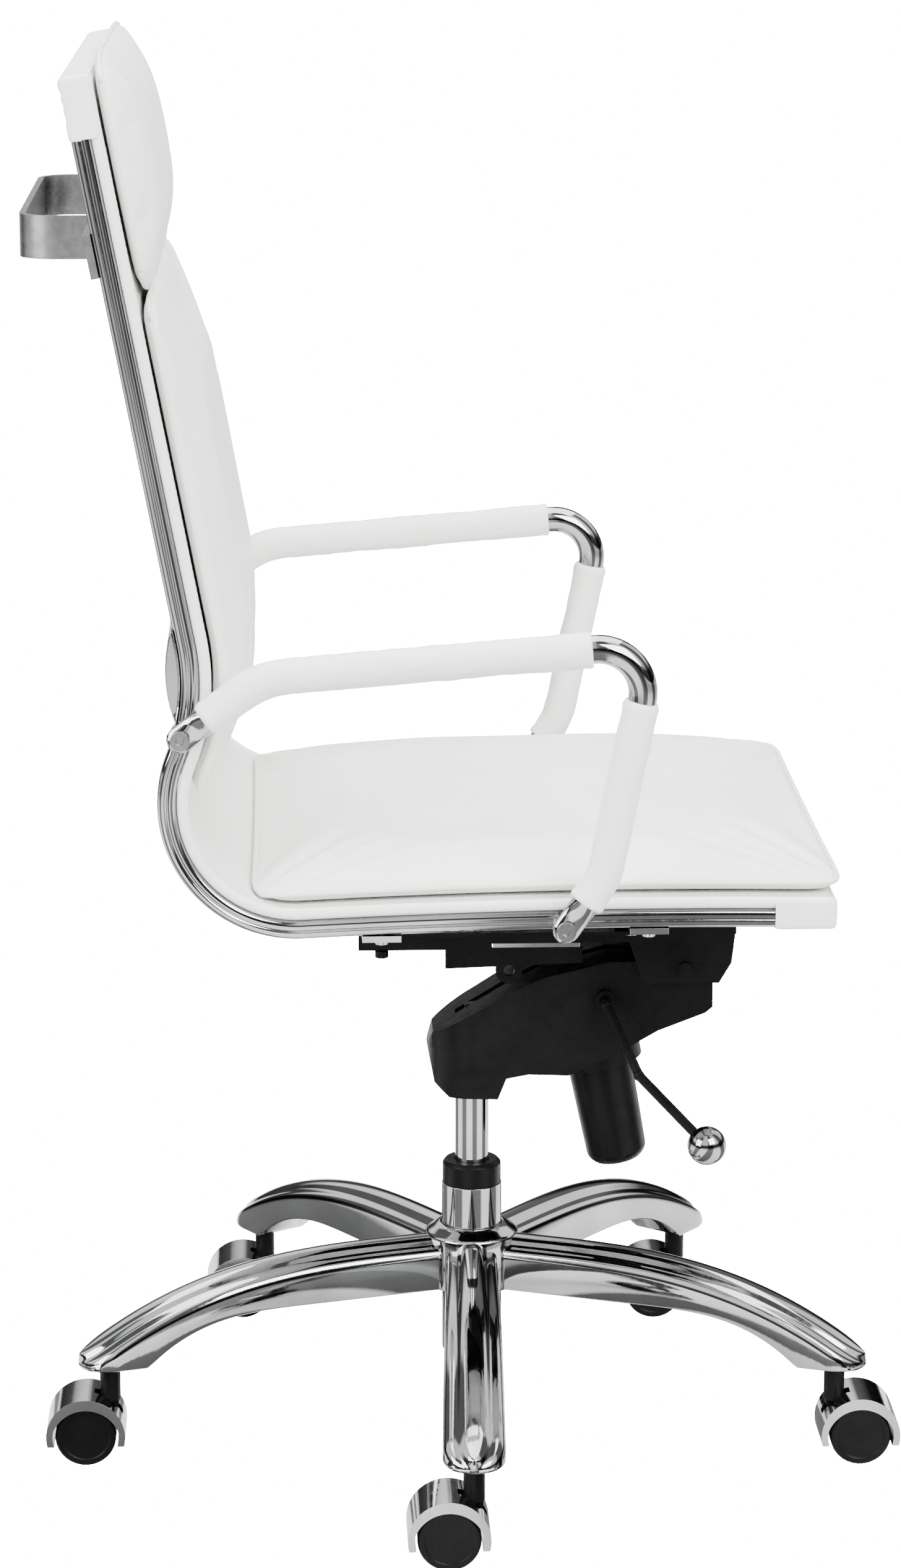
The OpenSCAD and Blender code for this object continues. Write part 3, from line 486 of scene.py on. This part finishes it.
def padGrid(c, count=72):
    t = np.linspace(-1, 1, count)
    t = np.sign(t) * (1 - (1 - np.abs(t)) ** 1.5)       # closer lines towards the edges
    u, v = np.meshgrid(t, t, indexing="ij")
    x, s = padOutline(c, u, v)
    rise = np.sqrt((1 - np.abs(u) ** c["sidePower"]) * (1 - np.abs(v) ** c["endPower"]))
    under = np.sqrt((1 - np.abs(u) ** 50) * (1 - np.abs(v) ** 50))
    top = c["seam"] + (c["thick"] - c["seam"]) * rise
    low = c["seam"] * (1 - under)
    verts = [(x[i, j], s[i, j], top[i, j]) for i in range(count) for j in range(count)]
    index = {}
    for i in range(count):
        for j in range(count):
            if i in (0, count - 1) or j in (0, count - 1):
                index[i, j] = i * count + j
            else:
                index[i, j] = len(verts)
                verts.append((x[i, j], s[i, j], low[i, j]))
    faces = []
    for i in range(count - 1):
        for j in range(count - 1):
            a, b, e, f = i * count + j, (i + 1) * count + j, (i + 1) * count + j + 1, i * count + j + 1
            faces.append((a, b, e, f))
            faces.append((index[i, j], index[i, j + 1], index[i + 1, j + 1], index[i + 1, j]))
    return meshFrom("padFlat", verts, faces)


def inflate(piece, c):
    remesh = piece.modifiers.new("remesh", "REMESH")
    remesh.mode = "VOXEL"
    remesh.voxel_size = clothRun["voxel"]
    piece.data = evaluated(piece)
    piece.modifiers.clear()
    before = np.array([v.co for v in piece.data.vertices])
    pin = piece.vertex_groups.new(name="pin")
    half, length = c["half"], (c["s1"] - c["s0"]) / 2
    for v in piece.data.vertices:
        onEdge = abs(v.co.z - c["seam"]) < 0.004 and (
            abs(v.co.x) > half - 0.008 or abs(v.co.y) > length - 0.008)
        if v.co.z < 0.002 or onEdge:
            pin.add([v.index], 1.0, "REPLACE")
    cloth = piece.modifiers.new("cloth", "CLOTH")
    cloth.settings.vertex_group_mass = "pin"
    cloth.settings.use_pressure = True
    cloth.settings.uniform_pressure_force = clothRun["pressure"]
    cloth.settings.effector_weights.gravity = 0
    cloth.settings.quality = 5
    cloth.point_cache.frame_start = 1
    cloth.point_cache.frame_end = clothRun["frames"]
    for number in range(1, clothRun["frames"] + 1):
        bpy.context.scene.frame_set(number)
    after = np.array([v.co for v in evaluated(piece).vertices])
    piece.modifiers.clear()
    piece.vertex_groups.clear()
    bpy.context.scene.frame_set(1)
    move = after - before
    size = np.linalg.norm(move, axis=1, keepdims=True)
    move *= np.minimum(1, c["cap"] / np.maximum(size, 1e-9))
    return before + move


def layOnSide(c, flat):
    s = (c["s0"] + c["s1"]) / 2 + flat[:, 1]
    d = padGap + flat[:, 2]
    if c is padShapes["seat_pad"]:
        past = np.clip(s - sOfY(heel["y"]), 0, None)
        rise = heel["radius"] - np.sqrt(np.clip(heel["radius"] ** 2 - past ** 2, 0, None))
        y, z = sideAtFlat(s, d)
        z += np.clip(padGap + rise - d, 0, None)
    else:
        y, z = sideAt(s, d)
    return np.stack([flat[:, 0], y, z], axis=1)


def sideAtFlat(s, d):
    endS = sOfY(heel["y"])
    y0, z0 = sideAt(np.minimum(s, endS), d)
    past = np.clip(s - endS, 0, None)
    slope = math.radians(sideCurve["seatFall"])
    return y0 + past * math.cos(slope), z0 - past * math.sin(slope)


def makePad(node):
    c = padShapes[node]
    mesh = padGrid(c)
    piece = bpy.data.objects.new(node + "_cushion", mesh)
    bpy.context.scene.collection.objects.link(piece)
    flat = inflate(piece, c)
    length = (c["s1"] - c["s0"]) / 2
    toSeam = np.minimum(c["half"] - np.abs(flat[:, 0]), length - np.abs(flat[:, 1]))
    onTop = np.clip((flat[:, 2] - c["seam"]) / 0.006, 0, 1)
    run = np.where(c["half"] - np.abs(flat[:, 0]) < length - np.abs(flat[:, 1]), flat[:, 1], flat[:, 0])
    wave = np.sin(run * 2 * math.pi / clothRun["puckerLength"] + 2 * np.sin(run * 31))
    flat[:, 2] += clothRun["pucker"] * wave * np.exp(-toSeam / 0.012) * onTop
    slow = np.array([noise.noise(Vector(p) * 14) for p in flat])
    flat[:, 2] += 0.0009 * slow * onTop
    placed = layOnSide(c, flat)
    piece.data.vertices.foreach_set("co", placed.astype(np.float32).ravel())
    piece.data.update()
    detail = piece.modifiers.new("detail", "SUBSURF")
    detail.levels = detail.render_levels = 1
    piece.data = evaluated(piece)
    piece.modifiers.clear()
    piece.data.materials.clear()
    piece.data.materials.append(leather)
    piece.data.polygons.foreach_set("use_smooth", [True] * len(piece.data.polygons))
    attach(piece, "seat")
    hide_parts(node)
    makePiping(node, c)
    return piece


pipingShape = {"radius": 0.0021, "sides": 10}


def makePiping(node, c):
    p = pipingShape
    edge = np.linspace(-1, 1, 90)[:-1]
    one = np.ones(len(edge))
    u = np.concatenate([edge, one, -edge, -one])
    v = np.concatenate([-one, edge, one, -edge])
    x, s = padOutline(c, u, v)
    flat = np.stack([x, s, np.full(len(x), c["seam"])], axis=1)
    centre = layOnSide(c, flat)
    count = len(centre)
    rings = []
    for k in range(count):
        along = Vector(centre[(k + 1) % count] - centre[k - 1]).normalized()
        out = Vector((0, 0, 1)) if abs(along.z) < 0.9 else Vector((0, 1, 0))
        across = along.cross(out).normalized()
        other = across.cross(along)
        rings.append([Vector(centre[k]) + p["radius"] * (
            math.cos(2 * math.pi * j / p["sides"]) * across + math.sin(2 * math.pi * j / p["sides"]) * other)
            for j in range(p["sides"])])
    verts, faces = loft(rings + [rings[0]], closedEnds=False)
    mesh = meshFrom(node + "Piping", verts, faces)
    bm = bmesh.new()
    bm.from_mesh(mesh)
    bmesh.ops.remove_doubles(bm, verts=bm.verts, dist=0.005 * mm)
    bm.to_mesh(mesh)
    bm.free()
    # the piping takes the darker copy of the leather: painted shade along the pad seams
    return place(node + "_piping", mesh, piping, "seat", "leather")


for name in padShapes:
    makePad(name)
    print(name, "filled and laid")


# arms: bent chrome tube with flattened ends, and leather sleeves

armShape = {"radius": 0.011, "sleeve": 0.0028, "front": 0.034, "rear": 0.070, "foot": 0.060,
            "slope": 4.7, "dive": 37.7, "lean": 11.5, "footLean": 34.5, "start": (-0.080, 0.718),
            "lugAngle": 194, "lugOut": 0.005, "footY": -0.060, "flat": 0.004, "step": 0.004,
            "x": 0.285, "flatLength": 0.020, "tip": 0.0105, "bare": 0.024, "sleeveStep": 0.0022, "sides": 40,
            "spacer": (0.2581, 0.2815), "spacerRadius": 0.008}


def crossPoint(p, a, q, b):
    t = np.linalg.solve(np.array([a, -b]).T, q - p)
    return p + t[0] * a


def filleted(points, radii, step):
    path = [points[0]]
    for k in range(1, len(points) - 1):
        p, before, after = points[k], points[k - 1], points[k + 1]
        a, b = (before - p) / np.linalg.norm(before - p), (after - p) / np.linalg.norm(after - p)
        half = math.acos(np.clip(a @ b, -1, 1)) / 2
        reach = radii[k - 1] / math.tan(half)
        centre = p + (a + b) / np.linalg.norm(a + b) * radii[k - 1] / math.sin(half)
        start, end = p + reach * a, p + reach * b
        a0 = math.atan2(*(start - centre)[::-1])
        turn = (math.atan2(*(end - centre)[::-1]) - a0 + math.pi) % (2 * math.pi) - math.pi
        for t in np.linspace(0, 1, max(6, int(abs(turn) * radii[k - 1] / step * 1.6))):
            path.append(centre + radii[k - 1] * np.array([math.cos(a0 + turn * t), math.sin(a0 + turn * t)]))
    path.append(points[-1])
    dense = [path[0]]
    for p in path[1:]:
        gap = np.linalg.norm(p - dense[-1])
        base = dense[-1]
        for t in np.linspace(0, 1, max(1, int(gap / step)) + 1)[1:]:
            dense.append(base + (p - base) * t)
    return np.array(dense)


def armLine():
    c = armShape
    lug = lumbarCentre + (sideCurve["lumbarRadius"] + c["lugOut"]) * polar(c["lugAngle"])
    footY, footZ = sideAt(sOfY(c["footY"]), 0)
    foot = np.array([c["footY"], float(footZ) + railShape["depth"] / 2])
    start = np.array(c["start"])
    rear, dive = polar(-c["slope"]), polar(-c["dive"])
    post = np.array([math.sin(math.radians(c["lean"])), -math.cos(math.radians(c["lean"]))])
    down = np.array([math.sin(math.radians(c["footLean"])), -math.cos(math.radians(c["footLean"]))])
    centre = start - c["front"] * polar(90 - c["slope"])
    postStart = centre + c["front"] * polar(180 + c["lean"])
    corners = [lug, crossPoint(start, rear, lug, dive), crossPoint(start, rear, postStart, post),
               crossPoint(postStart, post, foot, down), foot]
    return filleted(corners, [c["rear"], c["front"], c["foot"]], c["step"]), start, postStart


def tubeRings(x0, line, radii, sides=32):
    rings = []
    for k in range(len(line)):
        along = line[min(k + 1, len(line) - 1)] - line[max(k - 1, 0)]
        along = along / np.linalg.norm(along)
        rx, rd = radii[k]
        rings.append([(x0 + rx * math.cos(2 * math.pi * j / sides),
                       line[k][0] - rd * math.sin(2 * math.pi * j / sides) * along[1],
                       line[k][1] + rd * math.sin(2 * math.pi * j / sides) * along[0]) for j in range(sides)])
    return rings


def disc(x0, x1, centre, r, sides=32, edge=0.0008):
    rings = []
    for x, rr in ((x0, r - edge), (x0 + edge * (1 if x1 > x0 else -1), r),
                  (x1 - edge * (1 if x1 > x0 else -1), r), (x1, r - edge)):
        rings.append([(x, centre[0] + rr * math.cos(2 * math.pi * j / sides),
                       centre[1] + rr * math.sin(2 * math.pi * j / sides)) for j in range(sides)])
    return loft(rings)


def joined(parts):
    verts, faces = [], []
    for v, f in parts:
        faces += [tuple(i + len(verts) for i in face) for face in f]
        verts += list(v)
    return verts, faces


def beyond(p, q, length):
    return q + (q - p) / np.linalg.norm(q - p) * length


def makeArm(side):
    c = armShape
    word = "left" if side > 0 else "right"
    x0 = side * c["x"]
    line, start, postStart = armLine()
    size = runAlong(line)
    rearEnd, frontEnd = line[0], line[-1]
    whole, tip = size[-1], c["tip"]
    line = np.vstack([beyond(line[1], rearEnd, tip), line, beyond(line[-2], frontEnd, tip)])
    ends = np.concatenate([[-tip], size, [whole + tip]])
    extra = [-tip * 0.97, -tip * 0.85, -tip * 0.6, -tip * 0.3]
    spots = np.array(sorted(set(ends.tolist() + extra + [whole - e for e in extra])))
    points = np.stack([np.interp(spots, ends, line[:, 0]), np.interp(spots, ends, line[:, 1])], axis=1)
    radii = []
    for s in spots:
        near = min(s, whole - s)
        t = np.clip(near / c["flatLength"] - 0.5, 0, 1)
        t = t * t * (3 - 2 * t)
        rx = c["flat"] + (c["radius"] - c["flat"]) * t
        rd = tip + (c["radius"] - tip) * t
        if near < 0:
            rd = max(0.0006, tip * math.sqrt(max(0, 1 - (near / tip) ** 2)))
            rx = c["flat"] * (0.75 if near < -tip * 0.95 else 1)
        radii.append((rx, rd))
    parts = [loft(tubeRings(x0, points, radii))]
    for centre in (rearEnd, frontEnd):
        parts.append(disc(side * c["spacer"][0], side * c["spacer"][1], centre, c["spacerRadius"]))
    place(f"arm_{word}_chrome", meshFrom("arm", *joined(parts)), chrome, "seat", "chrome", [f"arm_{word}"])
    topEnd = ends[np.argmin(np.linalg.norm(line - start, axis=1))]
    postTop = ends[np.argmin(np.linalg.norm(line - postStart, axis=1))]
    sleeves = []
    for a, b in ((c["bare"], topEnd), (postTop, whole - c["bare"])):
        spots = np.arange(a, b, c["sleeveStep"])
        points = np.stack([np.interp(spots, ends, line[:, 0]), np.interp(spots, ends, line[:, 1])], axis=1)
        rings = tubeRings(x0, points, [(1, 1)] * len(points), c["sides"])
        shaped = []
        for k, ring in enumerate(rings):
            edge = min(spots[k] - a, b - spots[k])
            hem = 0.0005 * math.exp(-((edge - 0.0045) / 0.002) ** 2) - 0.0009 * math.exp(-edge / 0.0012)
            new = []
            for j, p in enumerate(ring):
                angle = 2 * math.pi * j / c["sides"]
                up, out = math.sin(angle), math.cos(angle)
                fold = 0.00055 * noise.noise(Vector((spots[k] * 95, 2.2 * out, 2.2 * up + side)))
                fold += 0.0007 * noise.noise(Vector((spots[k] * 22, out, up + 5 * side)))
                fold *= min(1, edge / 0.006)
                seam = -0.0007 * math.exp(-(up + 1) / 0.012)        # sewn line underneath
                r = c["radius"] + c["sleeve"] + hem + fold + seam
                centre = (x0, points[k][0], points[k][1])
                new.append(tuple(centre[i] + (p[i] - centre[i]) * r for i in range(3)))
            shaped.append(new)
        sleeves.append(loft(shaped))
    place(f"arm_sleeves_{word}_leather", meshFrom("sleeves", *joined(sleeves)), leather, "seat", "leather",
          [f"arm_sleeves_{word}"])


for side in (1, -1):
    makeArm(side)
print("arms made")


# base: five arched legs with a rounded ridge on each, round a hub

baseShape = {"hubZ": 0.118, "hubHeight": 0.047, "hubRadius": 0.039, "stemRadius": 0.314, "overhang": 0.026,
             "rootHalf": 0.021, "tipHalf": 0.025, "ridge": 0.007, "drop": 0.071, "low": 0.081,
             "turn": -2, "step": 0.006, "collar": 0.028, "bore": 0.0252, "root": 0.030, "archStart": 0.060,
             "dipStart": 0.150, "dipLength": 0.137, "socket": 0.011, "socketLow": 0.078, "socketHigh": 0.090}


def legTop(c, r):
    reach = c["stemRadius"] + c["overhang"] - c["archStart"]
    share = max(0, r - c["archStart"]) / reach
    return c["hubZ"] + c["hubHeight"] - 0.002 - c["drop"] * share ** 2.8


def legBottom(c, r):
    share = min(1, max(0, r - c["dipStart"]) / c["dipLength"])
    root = c["hubZ"] + 0.002
    return root - (root - c["low"]) * share ** 3.2


def legSection(c, r):
    tip = c["stemRadius"] + c["overhang"]
    wide = c["rootHalf"] + (c["tipHalf"] - c["rootHalf"]) * (r / tip)
    start = tip - c["tipHalf"]
    if r > start:
        wide *= math.sqrt(max(0.0004, 1 - ((r - start) / (tip - start)) ** 2))
    top, low = legTop(c, r), legBottom(c, r)
    skirt = top - c["ridge"]
    low = min(low, skirt - 0.004)
    half = [(0, top), (0.18, top - 0.0002), (0.34, top - 0.0012), (0.45, top - 0.0032), (0.52, top - 0.0056),
            (0.60, skirt - 0.0002), (0.74, skirt - 0.0007), (0.86, skirt - 0.0018), (0.95, skirt - 0.0042),
            (0.995, skirt - 0.0090), (1.0, max(low + 0.003, skirt - 0.0170)), (0.985, low + 0.0012),
            (0.95, low)]
    half = [(x, max(z, low)) for x, z in half]
    right = [(x * wide, z) for x, z in half]
    left = [(-x, z) for x, z in reversed(right[1:])]
    return right + left


def makeBase():
    c = baseShape
    tip = c["stemRadius"] + c["overhang"]
    parts = []
    spots = list(np.arange(c["root"], tip - c["tipHalf"] - 0.001, c["step"]))
    spots += [tip - c["tipHalf"] * (1 - math.sin(k * math.pi / 20)) for k in range(10)]
    spots.append(tip - 0.0002)
    socket = [(c["socket"] - 0.0012, c["socketLow"]), (c["socket"], c["socketLow"] + 0.0012),
              (c["socket"], c["socketHigh"])]
    for i in range(5):
        turn = math.radians(180 + c["turn"] - 72 * i)
        out, up = math.cos(turn), math.sin(turn)
        rings = [[(r * out - x * up, r * up + x * out, z) for x, z in legSection(c, r)] for r in spots]
        parts.append(loft(rings))
        parts.append(lathe(socket, 28, (c["stemRadius"] * out, c["stemRadius"] * up)))
    z0, z1, r = c["hubZ"], c["hubZ"] + c["hubHeight"], c["hubRadius"]
    hub = [(c["bore"], z0), (r - 0.002, z0), (r - 0.0006, z0 + 0.0006), (r, z0 + 0.002), (r, z1 - 0.003),
           (r - 0.0008, z1 - 0.0012), (r - 0.0025, z1), (c["collar"] + 0.0035, z1 + 0.0035),
           (c["collar"] + 0.001, z1 + 0.0055), (c["collar"] - 0.001, z1 + 0.006), (c["bore"], z1 + 0.006)]
    parts.append(lathe(hub, 96, (0, 0), True))
    place("base_star_chrome", meshFrom("baseStar", *joined(parts)), chrome, "base", "chrome", ["base_star"])


def lathe(profile, count, centre, closed=False):
    turns = [2 * math.pi * j / count for j in range(count)]
    rings = [[(centre[0] + r * math.cos(a), centre[1] + r * math.sin(a), z) for a in turns]
             for r, z in profile]
    return loft(rings + rings[:1], closedEnds=False) if closed else loft(rings)


makeBase()
print("base made")


# every other node keeps its shape and gets its finish; the nodes in edgeWidths also get soft edges

edgeWidths = {
    "tube_collar": 0.8, "tilt_housing": 2.6, "tension_knob": 3.0, "seat_plate": 0.7,
    "tilt_yoke": 0.8, "link_bars": 0.6, "plate_bolts": 0.5, "plate_bumpers": 0.8, "front_stretcher": 0.9,
    "rear_stretcher": 0.9, "stretcher_screws": 0.4, "carry_handle": 0.9, "lumbar_brace": 1.2,
    "arm_screws": 0.6, "lever_cam": 0.5, "outer_tube": 0.4,
}
kept = ["caster_stems", "guide_bush", "piston_rod", "thrust_bearing", "bearing_clip", "gas_cylinder",
        "tilt_axle", "tension_spring", "valve_pin", "height_lever", "lever_ball"]
for i in range(1, 6):
    edgeWidths[f"caster_core_{i}"] = 0.6
    edgeWidths[f"caster_hood_{i}"] = 0.6
    edgeWidths[f"caster_wheels_{i}"] = 0.5
    kept.append(f"caster_axle_{i}")
darkNodes = {"arm_screws": darkSteel, "lever_cam": blackCoat, "tilt_axle": blackCoat,
             "plate_bolts": darkSteel}
for node, width in edgeWidths.items():
    softEdges(node, width, darkNodes.get(node))
for node in kept:
    for spot in nodes[node].material_slots:
        spot.material = darkNodes.get(node, finishOf[slotOf[node]])
print("metal and plastic parts finished")


# floor, light and camera

studio = {"floorSize": 30, "skyLow": 0.05, "skyHigh": 2.6, "seen": 20, "strips": 5,
          "lamps": [("keyLight", (-2.6, -1.6, 2.6), (0, 0, 0.6), 2.2, 310),
                    ("fillLight", (-1.8, 2.6, 1.8), (0, 0, 0.6), 2.0, 175),
                    ("topLight", (0.6, 0, 3.0), (0, 0, 0.5), 3, 205)],
          "lens": 102.14, "stand": (-3.553, 0.150, 1.387), "look": (0.9725, -0.0362, -0.2297)}


def makeFloor():
    mesh = bpy.data.meshes.new("floor")
    h = studio["floorSize"] / 2
    mesh.from_pydata([(-h, -h, 0), (h, -h, 0), (h, h, 0), (-h, h, 0)], [], [(0, 1, 2, 3)])
    floor = bpy.data.objects.new("floor", mesh)
    bpy.context.scene.collection.objects.link(floor)
    material, tree, shader = startMaterial("paleFloor")
    coords = objectCoords(tree)
    # painted reflection bands: bright and dark strips on the floor that only non-camera rays see, so the
    # chrome reflects dark studio bands; camera rays see the plain pale floor
    strips = stripsAround(tree, coords, 0.86, 0.10)
    spread = noiseField(tree, coords, 3)
    pale = ramp(tree, spread, [(0.3, grey(0.84)), (0.7, grey(0.88))])
    path = tree.nodes.new("ShaderNodeLightPath")
    base = tree.nodes.new("ShaderNodeMix")
    base.data_type = "RGBA"
    tree.links.new(path.outputs["Is Camera Ray"], base.inputs["Factor"])
    tree.links.new(strips, base.inputs["A"])
    tree.links.new(pale, base.inputs["B"])
    tree.links.new(base.outputs["Result"], shader.inputs["Base Color"])
    glow = tree.nodes.new("ShaderNodeMath")
    glow.operation = "MULTIPLY"
    glow.inputs[1].default_value = studio["seen"]
    tree.links.new(path.outputs["Is Camera Ray"], glow.inputs[0])
    tree.links.new(glow.outputs[0], shader.inputs["Emission Strength"])
    shader.inputs["Emission Color"].default_value = (1, 1, 1, 1)
    shader.inputs["Roughness"].default_value = 0.9
    mesh.materials.append(material)


# bright and dark bands round the vertical axis: light in the sky, painted reflection bands on the floor
def stripsAround(tree, coords, bright, dark):
    parts = tree.nodes.new("ShaderNodeSeparateXYZ")
    tree.links.new(coords, parts.inputs[0])
    turn = tree.nodes.new("ShaderNodeMath")
    turn.operation = "ARCTAN2"
    tree.links.new(parts.outputs["Y"], turn.inputs[0])
    tree.links.new(parts.outputs["X"], turn.inputs[1])
    scale = tree.nodes.new("ShaderNodeMath")
    scale.operation = "MULTIPLY"
    scale.inputs[1].default_value = studio["strips"]
    wave = tree.nodes.new("ShaderNodeMath")
    wave.operation = "SINE"
    tree.links.new(turn.outputs[0], scale.inputs[0])
    tree.links.new(scale.outputs[0], wave.inputs[0])
    half = tree.nodes.new("ShaderNodeMath")
    half.operation = "MULTIPLY_ADD"
    half.inputs[1].default_value = 0.5
    half.inputs[2].default_value = 0.5
    tree.links.new(wave.outputs[0], half.inputs[0])
    return ramp(tree, half.outputs[0], [(0.3, grey(dark)), (0.55, grey(bright))])


def areaLight(name, place, target, size, power):
    light = bpy.data.lights.new(name, "AREA")
    light.shape = "SQUARE"
    light.size = size
    light.energy = power
    lamp = bpy.data.objects.new(name, light)
    bpy.context.scene.collection.objects.link(lamp)
    lamp.location = place
    lamp.rotation_euler = (Vector(target) - Vector(place)).to_track_quat("-Z", "Y").to_euler()


def makeSky():
    world = bpy.data.worlds.new("studioSky")
    bpy.context.scene.world = world
    world.use_nodes = True
    tree = world.node_tree
    tree.nodes.clear()
    out = tree.nodes.new("ShaderNodeOutputWorld")
    seen, lit = tree.nodes.new("ShaderNodeBackground"), tree.nodes.new("ShaderNodeBackground")
    seen.inputs[0].default_value = (1, 1, 1, 1)
    seen.inputs[1].default_value = studio["seen"]
    coords = tree.nodes.new("ShaderNodeTexCoord")
    parts = tree.nodes.new("ShaderNodeSeparateXYZ")
    tree.links.new(coords.outputs["Generated"], parts.inputs[0])
    up = ramp(tree, parts.outputs["Z"], [(0.0, grey(1.6)), (0.03, grey(studio["skyLow"])), (0.24, grey(0.15)),
                                         (0.40, grey(studio["skyHigh"])), (1.0, grey(2))])
    strips = stripsAround(tree, coords.outputs["Generated"], 1, 0.12)
    both = tree.nodes.new("ShaderNodeMix")
    both.data_type = "RGBA"
    both.blend_type = "MULTIPLY"
    both.inputs["Factor"].default_value = 1
    tree.links.new(up, both.inputs["A"])
    tree.links.new(strips, both.inputs["B"])
    tree.links.new(both.outputs["Result"], lit.inputs[0])
    path = tree.nodes.new("ShaderNodeLightPath")
    mix = tree.nodes.new("ShaderNodeMixShader")
    tree.links.new(path.outputs["Is Camera Ray"], mix.inputs[0])
    tree.links.new(lit.outputs[0], mix.inputs[1])
    tree.links.new(seen.outputs[0], mix.inputs[2])
    tree.links.new(mix.outputs[0], out.inputs[0])


makeFloor()
makeSky()
for lamp in studio["lamps"]:
    areaLight(*lamp)
camera = bpy.data.objects.new("camera", bpy.data.cameras.new("camera"))
bpy.context.scene.collection.objects.link(camera)
camera.data.lens = studio["lens"]
camera.data.sensor_width = 36
camera.location = studio["stand"]
camera.rotation_euler = Vector(studio["look"]).to_track_quat("-Z", "Y").to_euler()
bpy.context.scene.camera = camera
print("studio ready")
